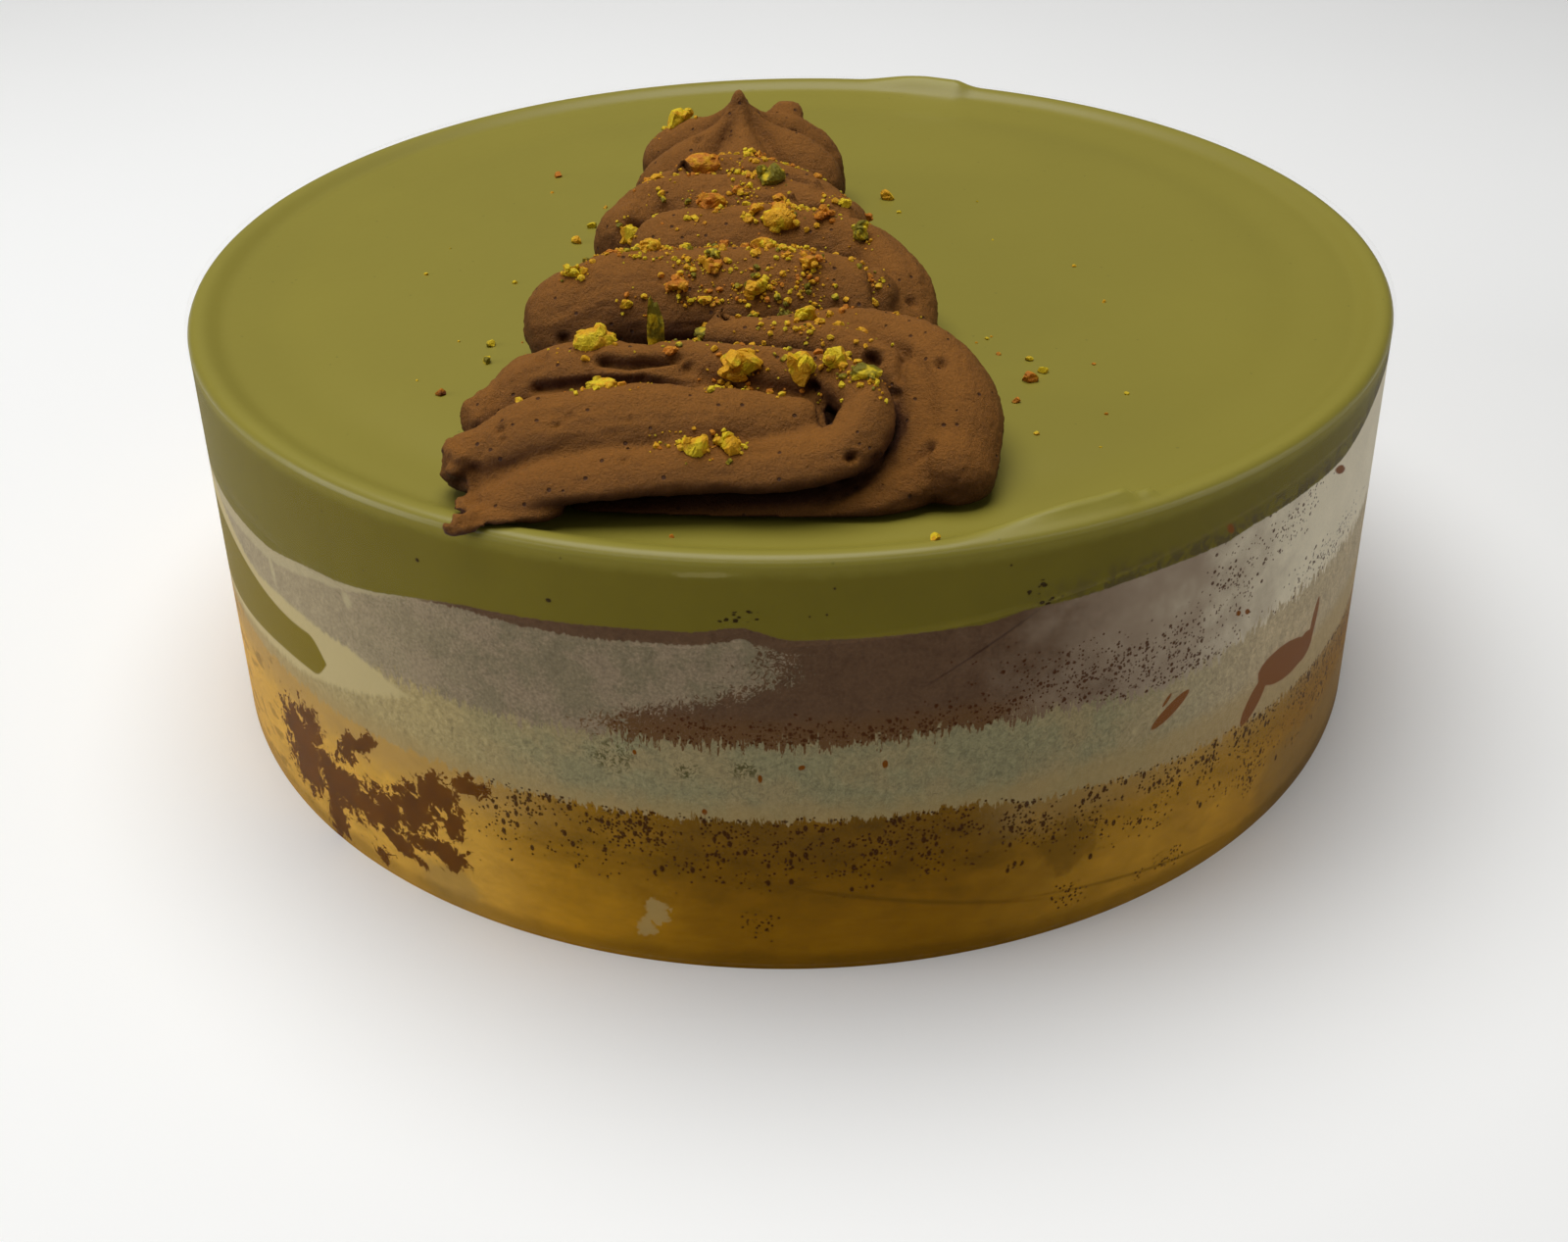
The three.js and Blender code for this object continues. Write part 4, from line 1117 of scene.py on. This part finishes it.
def roughen_cream(piece, streak_depth):
    """Relief of the cream: lumps, fine lines along each rib, torn ends, slits and pits."""
    places = corners(piece)
    flat = np.zeros(len(places) * 3)
    piece.data.vertex_normals.foreach_get("vector", flat)
    normals = flat.reshape(-1, 3)
    relief = np.zeros(len(places))
    for k, (place, (along, round_it, number)) in enumerate(zip(places, streak_places(places))):
        point = Vector(place)
        lumps = sum(height * noise.noise(point * often) for often, height in LUMPS)
        lines = sum(
            weight * noise.noise(Vector((round_it * across, along * run, number * step + shift)))
            for across, run, step, shift, weight in STREAKS)
        relief[k] = lumps + lines * streak_depth / MM
    tail, blunt = (
        smoothstep(*x_span, places[:, 0]) * smoothstep(*y_span, places[:, 1])
        for x_span, y_span, _ in (THIN_TAIL, BLUNT_ENDS))
    tears = np.array([noise.turbulence(Vector(place) * TEARS, 3, False) for place in places])
    relief = np.where(tail > 0.1, np.maximum(relief, -TAIL_SINK), relief)
    relief += (THIN_TAIL[2] * tail + BLUNT_ENDS[2] * blunt) * (tears - TEAR_MIDDLE)
    for depth, half_width, line in SLITS + VALLEYS:
        far = far_from_line(places[:, :len(line[0])], line)
        relief -= depth * np.clip(1 - far / half_width, 0, 1)
    draw = drawing(PIT_SEED)
    pits = [(np.array(pit[:3]), *pit[3:]) for pit in PITS]
    for _ in range(SMALL_PITS):
        spot = places[int(next(draw) * len(places))]
        reach = drawn(draw, SMALL_PIT_REACH, 2)
        pits.append((spot, reach, SMALL_PIT_DEPTH * reach))
    for spot, reach, depth in pits:
        far = np.linalg.norm(places - spot, axis=1)
        relief -= depth * np.clip(1 - (far / reach) ** 2, 0, 1)
    level = glaze_level()
    start, end = RELIEF_START
    relief *= smoothstep(level + start, level + end, places[:, 2])
    put_corners(piece, places + normals * relief[:, None])


def mark_open_sky(piece):
    """Stores how much of the sky each point of the cream sees, which is little in its folds and on
    faces turned from above. The cream's material paints shade from it.
    """
    tree = BVHTree.FromObject(piece, bpy.context.evaluated_depsgraph_get())
    ways = []
    for ring, (rise, count) in enumerate(SKY_RINGS):
        flat = math.sqrt(1 - rise * rise)
        for k in range(count):
            turn = FULL_TURN * (k + 0.5 * (ring % 2)) / count
            ways.append(Vector((flat * math.cos(turn), flat * math.sin(turn), rise)))
    most = sum(way.z for way in ways)
    seen = []
    for vertex in piece.data.vertices:
        start = vertex.co + vertex.normal * (SKY_START * MM)
        open_sky = 0
        for way in ways:
            facing = vertex.normal.dot(way)
            if facing > 0 and tree.ray_cast(start, way, SKY_REACH * MM)[0] is None:
                open_sky += facing
        seen.append(open_sky / most)
    piece.data.attributes.new("open_sky", "FLOAT", "POINT").data.foreach_set("value", seen)


def piping_material(colours):
    sheet = Sheet("piped_cream")
    place = sheet.place()
    grain = sheet.noise(place, 2.9, 3, 0.8)
    cloud = sheet.noise(place, 0.12, 3, 0.5)
    drawn = sheet.noise(sheet.place((0.16, 1, 1)), 1.8, 3, 0.65)
    pits = sheet.specks(place, 0.8, 0.2, 0.35)
    sky = sheet.node("ShaderNodeAttribute", {"attribute_name": "open_sky"}, None, "Fac")
    # Painted shade and light: the cream is darker and browner where it sees little sky, in its
    # folds and on faces turned from above, and lighter on top.
    light = (0.44 + grain * 0.86 + cloud * 0.16 + drawn * 0.1) * (0.34 + sky * 0.75)
    colour = sheet.mix(sheet.ramp(sky, 0.05, 0.7), "62320a", colours.piping)
    # Painted shade: the small pits are coloured dark brown, as shade falls in them.
    colour = sheet.mix(pits * 0.8, sheet.tint(colour, light), "3a1c0c")
    relief = grain * 1.3 + drawn * 0.3 - pits * 1.6
    return sheet.finish(colour, 0.62, Specular_IOR_Level=0.22,
                        Normal=sheet.bump(relief, 0.8, 0.45 * MM))


# ---- Nuts and crumbs ----

def rough_chips(name, count, seed, roundness, cuts, crumbly):
    """Chopped bits of unit size: balls cut by planes to broken faces, the large ones crumbly."""
    draw = drawing(seed)
    shapes = []
    for number in range(count):
        clear_selection()
        bpy.ops.mesh.primitive_ico_sphere_add(subdivisions=roundness, radius=0.5)
        piece = bpy.context.object
        piece.name = f"{name}_{number}"
        bpy.ops.object.mode_set(mode="EDIT")
        for _ in range(cuts):
            bpy.ops.mesh.select_all(action="SELECT")
            tilt = FULL_TURN * next(draw)
            rise = 2 * next(draw) - 1
            flat = math.sqrt(1 - rise * rise)
            normal = Vector((flat * math.cos(tilt), flat * math.sin(tilt), rise))
            depth = drawn(draw, CUT_DEPTH)
            bpy.ops.mesh.bisect(plane_co=normal * depth, plane_no=normal, use_fill=True,
                                clear_outer=True)
        bpy.ops.mesh.select_all(action="SELECT")
        bpy.ops.mesh.quads_convert_to_tris()
        if crumbly:
            bpy.ops.mesh.subdivide(number_cuts=1, fractal=crumbly, fractal_along_normal=CRUMBLE_OUT,
                                   seed=number + 1)
            bpy.ops.mesh.quads_convert_to_tris()
        bpy.ops.mesh.normals_make_consistent(inside=False)
        bpy.ops.object.mode_set(mode="OBJECT")
        faces = [tuple(face.vertices) for face in piece.data.polygons]
        shapes.append((corners(piece) * MM, faces))
        bpy.data.objects.remove(piece)
    return shapes


def joined_copies(name, copies):
    """One mesh of many copies: each is points, faces, place, sizes and a turn matrix."""
    points, faces = [], []
    start = 0
    for shape, shape_faces, place, sizes, turn in copies:
        moved = (shape * sizes) @ np.array(turn).T + place
        points.append(moved)
        faces.extend(tuple(start + k for k in face) for face in shape_faces)
        start += len(shape)
    mesh = bpy.data.meshes.new(name)
    mesh.from_pydata((np.vstack(points) * MM).tolist(), [], faces)
    mesh.validate()
    piece = bpy.data.objects.new(name, mesh)
    bpy.context.scene.collection.objects.link(piece)
    return piece


def glaze_height(x, y):
    return float(glaze_top(np.array([float(x)]), np.array([float(y)]))[0])


def height_on(tree, x, y):
    """Height of the first surface met from above, or None."""
    place = tree.ray_cast(Vector((x, y, 2 * COLLAR_HEIGHT)) * MM, Vector((0, 0, -1)))[0]
    return place.z / MM if place else None


def scattered_nuts(tree):
    """The nuts of the table, then the seeded scatter: place, sizes, turn and kind."""
    draw = drawing(NUT_SEED)
    found = []

    def put(x, y, sizes, turn, kind):
        z = height_on(tree, x, y)
        if z is not None and z >= NUT_LOWEST:
            found.append(((x, y, z + NUT_LIFT * sizes[2]), sizes, turn, kind))

    for x, y, long, wide, high, turn, kind in LARGE_NUTS:
        put(x, y, (long, wide, high), turn, kind)
    found.append((SLIVER[:3], SLIVER[3:6], *SLIVER[6:]))
    for number in range(NUT_COUNT):
        y = drawn(draw, (NUT_BACK, NUT_FRONT - NUT_BACK), NUT_CROWDING)
        x = NUT_MIDDLE + NUT_SPREAD * (next(draw) + next(draw) + next(draw) - 1.5)
        long = NUT_SIZE * drawn(draw, NUT_LONG)
        wide = long * drawn(draw, NUT_WIDE)
        high = long * drawn(draw, NUT_HIGH)
        put(x, y, (long, wide, high), 360 * next(draw), NUT_KINDS[number % len(NUT_KINDS)])
    return found


def flat_crumb(size):
    return size, size * 0.8, size * 0.7


def dust_places(draw):
    """Where fine crumbs fall: on the lines of the table, round the large nuts and between."""
    for count, line in DUST_LINES:
        line = np.array(line, float)
        for _ in range(count):
            spot = next(draw) * (len(line) - 1)
            k = min(int(spot), len(line) - 2)
            x, y = line[k] + (spot - k) * (line[k + 1] - line[k])
            yield (x + DUST_WIDTH[0] * (next(draw) - 0.5), y + DUST_WIDTH[1] * (next(draw) - 0.5),
                   True)
    for x, y, long, wide, *_ in LARGE_NUTS:
        for _ in range(DUST_ROUND_NUT):
            angle, out = FULL_TURN * next(draw), drawn(draw, DUST_NEAR_NUT)
            yield x + long * out * math.cos(angle), y + wide * out * math.sin(angle), True
    for _ in range(DUST_COUNT):
        y = drawn(draw, (NUT_BACK, -DUST_LENGTH), DUST_CROWDING)
        x = NUT_MIDDLE + DUST_SPREAD * (next(draw) + next(draw) + next(draw) - 1.5)
        patchy = noise.noise(Vector((x * DUST_PATCHES, y * DUST_PATCHES, 4)))
        yield x, y, patchy > drawn(draw, DUST_THINNING)


def scattered_dust(tree, draw):
    """The fine crumbs on the cream, then those on the glaze: kind, place, sizes and turn."""
    for number, (x, y, kept) in enumerate(dust_places(draw)):
        size = drawn(draw, DUST_SIZE, 3)
        turn = 360 * next(draw)
        z = height_on(tree, x, y)
        if kept and z is not None and z >= NUT_LOWEST:
            yield (DUST_KINDS[number % len(DUST_KINDS)], (x, y, z + DUST_LIFT * size),
                   flat_crumb(size), turn)
    for number in range(GLAZE_DUST_COUNT):
        angle = FULL_TURN * next(draw)
        out = drawn(draw, GLAZE_DUST_RING)
        x = GLAZE_DUST_CENTRE[0] + out * math.cos(angle)
        y = GLAZE_DUST_CENTRE[1] + GLAZE_DUST_LONG * out * math.sin(angle)
        if height_on(tree, x, y) is None and math.hypot(x, y) <= GLAZE_DUST_LIMIT:
            size = drawn(draw, GLAZE_DUST_SIZE, 2)
            z = glaze_height(x, y) + DUST_LIFT * size
            yield DUST_KINDS[number % len(DUST_KINDS)], (x, y, z), (size, size, size * 0.7), 0


def nut_material(name, colour, other):
    sheet = Sheet(name)
    place = sheet.place()
    cloud = sheet.noise(place, 0.5, 2, 0.6)
    grain = sheet.noise(place, 4, 2, 0.6)
    blend = sheet.mix(sheet.ramp(cloud, 0.46, 0.62), colour, other)
    tinted = sheet.tint(blend, 0.6 + grain * 0.9)
    return sheet.finish(tinted, 0.6, Specular_IOR_Level=0.2,
                        Normal=sheet.bump(grain, 0.6, 0.3 * MM))


# ---- Operators ----

class CAKE_OT_layers(bpy.types.Operator):
    """Model the sponge, cream and chocolate layers"""

    bl_idname = "cake.layers"
    bl_label = "Layers"

    def execute(self, context):
        colours = context.scene.cake_colours
        sponge, cream, mousse = (boundary(e) for e in (SPONGE_EDGE, CREAM_EDGE, GLAZE_EDGE))
        plan = [
            ("sponge", floor_level, sponge, "sponge", "sponge_base"),
            ("cream", sponge, cream, "cream", "cream_layer"),
            ("mousse", cream, mousse, "chocolate_mousse", "chocolate_layer"),
        ]
        material = side_material(colours)
        for name, under, over, slot, node in plan:
            piece = drape_layer(f"{name}_layer_body", LAYER_SIDES, under, over, LAYER_ROWS,
                                LAYER_RINGS)
            settle(piece, [material], slot, node, SHADE_ANGLE)
        return {"FINISHED"}


class CAKE_OT_glaze(bpy.types.Operator):
    """Model the pistachio glaze with its lip, trough and smears"""

    bl_idname = "cake.glaze"
    bl_label = "Glaze"

    def execute(self, context):
        rings = GLAZE_EDGE_RINGS + GLAZE_RINGS
        rings += [rings[-1] * (1 - k / GLAZE_INNER_RINGS) for k in range(1, GLAZE_INNER_RINGS)]
        under = boundary(GLAZE_EDGE)
        piece = drape_layer("glaze", GLAZE_SIDES, under, glaze_top, GLAZE_ROWS, rings)
        top = glaze_material(context.scene.cake_colours)
        settle(piece, [top, bpy.data.materials["cake_side"]], "glaze", "pistachio_glaze")
        for face in piece.data.polygons:
            face.material_index = 1 if face.normal.z < GLAZE_SIDE_SLOPE else 0
        return {"FINISHED"}


class CAKE_OT_piping(bpy.types.Operator):
    """Model the piped rope of chocolate cream with its dollop and torn points"""

    bl_idname = "cake.piping"
    bl_label = "Piping"

    def execute(self, context):
        sizes = context.scene.cake_sizes
        parts = [make_strand(name, rows) for name, rows in STRANDS.items()]
        parts += [make_peak(*peak) for peak in PEAKS]
        parts.append(make_dollop())
        piece = join_pieces(parts, "piping")
        face_outwards(piece)
        apply_modifier(piece, "REMESH", mode="VOXEL", voxel_size=sizes.voxel)
        apply_modifier(piece, "SMOOTH", factor=0.5, iterations=2)
        roughen_cream(piece, sizes.streak_depth)
        mark_open_sky(piece)
        material = piping_material(context.scene.cake_colours)
        settle(piece, [material], "piped_cream", "chocolate_piping")
        return {"FINISHED"}


class CAKE_OT_nuts(bpy.types.Operator):
    """Model the chopped pistachios and the fine crumbs on the cream and the glaze"""

    bl_idname = "cake.nuts"
    bl_label = "Nuts"

    def execute(self, context):
        colours = context.scene.cake_colours
        cream = bpy.data.objects["piping"]
        tree = BVHTree.FromObject(cream, context.evaluated_depsgraph_get())
        chunks = rough_chips("chunk", **CHUNK_SHAPES)
        chips = rough_chips("chip", **CHIP_SHAPES)
        kinds = {kind: [] for kind in ("fresh", "golden", "toasted", "green", "skin")}
        draw = drawing(DUST_SEED)

        def add(kind, place, sizes, turn):
            stock = chunks if max(sizes) > CHUNK_SIZE else chips
            shape, faces = stock[int(next(draw) * len(stock))]
            most = SLIVER_LEAN if sizes[2] > 2 * sizes[0] else NUT_LEAN
            lean = Matrix.Rotation(most * (next(draw) - 0.5), 3, "X")
            matrix = Matrix.Rotation(math.radians(turn), 3, "Z") @ lean
            kinds[kind].append((shape, faces, np.array(place), np.array(sizes) * NUT_SCALE, matrix))

        for place, sizes, turn, kind in scattered_nuts(tree):
            add(kind, place, sizes, turn)
            large = CHUNK_SIZE < max(sizes) < 2 * CHUNK_SIZE + sizes[0]
            for _ in range(FRAGMENTS if large else 0):
                way = Vector([next(draw) - 0.5 for _ in range(3)]).normalized()
                share = drawn(draw, FRAGMENT_SHARE)
                spot = [p + FRAGMENT_REACH * w * size for p, w, size in zip(place, way, sizes)]
                add(kind, spot, [share * size for size in sizes], 360 * next(draw))
        for x, y, size, kind in GLAZE_CRUMBS:
            place = (x, y, glaze_height(x, y) + CRUMB_LIFT * size)
            add(kind, place, flat_crumb(size), 360 * next(draw))
        for kind, place, sizes, turn in scattered_dust(tree, draw):
            add(kind, place, sizes, turn)
        others = {"fresh": colours.golden, "golden": colours.fresh, "toasted": colours.golden,
                  "green": colours.fresh, "skin": colours.toasted}
        for kind, copies in kinds.items():
            piece = joined_copies(f"nuts_{kind}", copies)
            material = nut_material(f"nut_{kind}", getattr(colours, kind), others[kind])
            settle(piece, [material], "nuts", smooth=0)
        return {"FINISHED"}


class CAKE_OT_collar(bpy.types.Operator):
    """Model the clear film collar, whose last stretch passes outside its start"""

    bl_idname = "cake.collar"
    bl_label = "Collar"

    def execute(self, context):
        clear_selection()
        bpy.ops.mesh.primitive_grid_add(
            x_subdivisions=COLLAR_SIDES, y_subdivisions=COLLAR_ROWS, size=2)
        piece = bpy.context.object
        piece.name = "collar_film"
        flat = corners(piece) * MM
        turned = (360 + COLLAR_OVERLAP) * (flat[:, 0] + 1) / 2
        z = COLLAR_LIFT + (COLLAR_HEIGHT - COLLAR_LIFT) * (flat[:, 1] + 1) / 2
        film = context.scene.cake_sizes.film / MM
        passing = (film + FILM_GAP) * smoothstep(360 - OVERLAP_RISE, 360, turned)
        angle = np.radians(COLLAR_SEAM + turned)
        out = cake_radius(z) + FILM_GAP + passing
        put_corners(piece, np.stack([out * np.cos(angle), out * np.sin(angle), z], 1))
        apply_modifier(piece, "SOLIDIFY", thickness=film * MM, offset=1)
        face_outwards(piece)
        sheet = Sheet("clear_film")
        facing = sheet.node("ShaderNodeLayerWeight", None, {"Blend": 0.5}, "Facing")
        height = sheet.parts(sheet.place())[2]
        rims = sheet.ramp(height, *FOOT_RIM) + sheet.ramp(height, *TOP_RIM)
        alpha = FILM_CLEAR + facing ** 3 * FILM_EDGE_ON + rims * FILM_RIM
        material = sheet.finish((0.95, 0.95, 0.93), 0.1, Metallic=1.0, Alpha=alpha)
        settle(piece, [material], "film", "clear_collar", SHADE_ANGLE)
        piece.visible_shadow = False
        piece.visible_diffuse = False
        return {"FINISHED"}


class CAKE_OT_stage(bpy.types.Operator):
    """Set up the pale floor, the soft lights and the camera"""

    bl_idname = "cake.stage"
    bl_label = "Stage"

    def execute(self, context):
        clear_selection()
        bpy.ops.mesh.primitive_circle_add(vertices=96, radius=FLOOR_RADIUS, fill_type="NGON")
        floor = context.object
        floor.name = "floor"
        sheet = Sheet("pale_floor")
        cloud = sheet.noise(sheet.place(), 0.01, 2)
        colour = sheet.tint(FLOOR_COLOUR, 0.98 + cloud * 0.03)
        floor.data.materials.append(sheet.finish(colour, 0.6))
        for name, place, size, power in LIGHTS:
            data = bpy.data.lights.new(name, "AREA")
            data.shape = "DISK"
            data.size = size
            data.energy = power
            lamp = bpy.data.objects.new(name, data)
            lamp.location = place
            aim = Vector(LIGHTS_AIM) - Vector(place)
            lamp.rotation_euler = aim.to_track_quat("-Z", "Y").to_euler()
            context.scene.collection.objects.link(lamp)
        world = bpy.data.worlds.new("studio")
        world.use_nodes = True
        background = world.node_tree.nodes["Background"].inputs
        background["Color"].default_value = (1, 1, 1, 1)
        background["Strength"].default_value = ROOM_LIGHT
        context.scene.world = world
        context.scene.view_settings.view_transform = "Standard"
        context.scene.view_settings.look = "None"
        context.scene.camera = self.make_camera(context)
        return {"FINISHED"}

    def make_camera(self, context):
        data = bpy.data.cameras.new("camera")
        data.lens = LENS
        data.sensor_width = SENSOR_WIDTH
        camera = bpy.data.objects.new("camera", data)
        elevation, pitch, yaw, roll = (math.radians(a) for a in (
            CAMERA_ELEVATION, CAMERA_PITCH, CAMERA_YAW, CAMERA_ROLL))
        place = Vector((0, -math.cos(elevation), math.sin(elevation))) * CAMERA_DISTANCE * MM
        ahead = Vector((math.sin(yaw) * math.cos(pitch), math.cos(yaw) * math.cos(pitch),
                        -math.sin(pitch)))
        right = Vector((math.cos(yaw), -math.sin(yaw), 0))
        up = right.cross(ahead)
        rolled_right = right * math.cos(roll) + up * math.sin(roll)
        rolled_up = up * math.cos(roll) - right * math.sin(roll)
        turn = Matrix((rolled_right, rolled_up, -ahead)).transposed().to_4x4()
        camera.matrix_world = Matrix.Translation(place) @ turn
        context.scene.collection.objects.link(camera)
        return camera


STEPS = [CAKE_OT_stage, CAKE_OT_layers, CAKE_OT_glaze, CAKE_OT_piping, CAKE_OT_nuts,
         CAKE_OT_collar]


class CAKE_PT_panel(bpy.types.Panel):
    """Lists the sizes, the colours and the steps that make the cake"""

    bl_idname = "CAKE_PT_panel"
    bl_label = "Pistachio cake"
    bl_space_type = "VIEW_3D"
    bl_region_type = "UI"
    bl_category = "Cake"

    def draw(self, context):
        for settings in (context.scene.cake_sizes, context.scene.cake_colours):
            for name in settings.__annotations__:
                self.layout.prop(settings, name)
        for step in STEPS:
            self.layout.operator(step.bl_idname)


CLASSES = [CakeSizes, CakeColours, *STEPS, CAKE_PT_panel]


def register():
    for made in CLASSES:
        bpy.utils.register_class(made)
    bpy.types.Scene.cake_sizes = bpy.props.PointerProperty(type=CakeSizes)
    bpy.types.Scene.cake_colours = bpy.props.PointerProperty(type=CakeColours)


def unregister():
    del bpy.types.Scene.cake_colours
    del bpy.types.Scene.cake_sizes
    for made in reversed(CLASSES):
        bpy.utils.unregister_class(made)


def main():
    register()
    for step in STEPS:
        group, name = step.bl_idname.split(".")
        getattr(getattr(bpy.ops, group), name)()


if __name__ == "__main__":
    main()
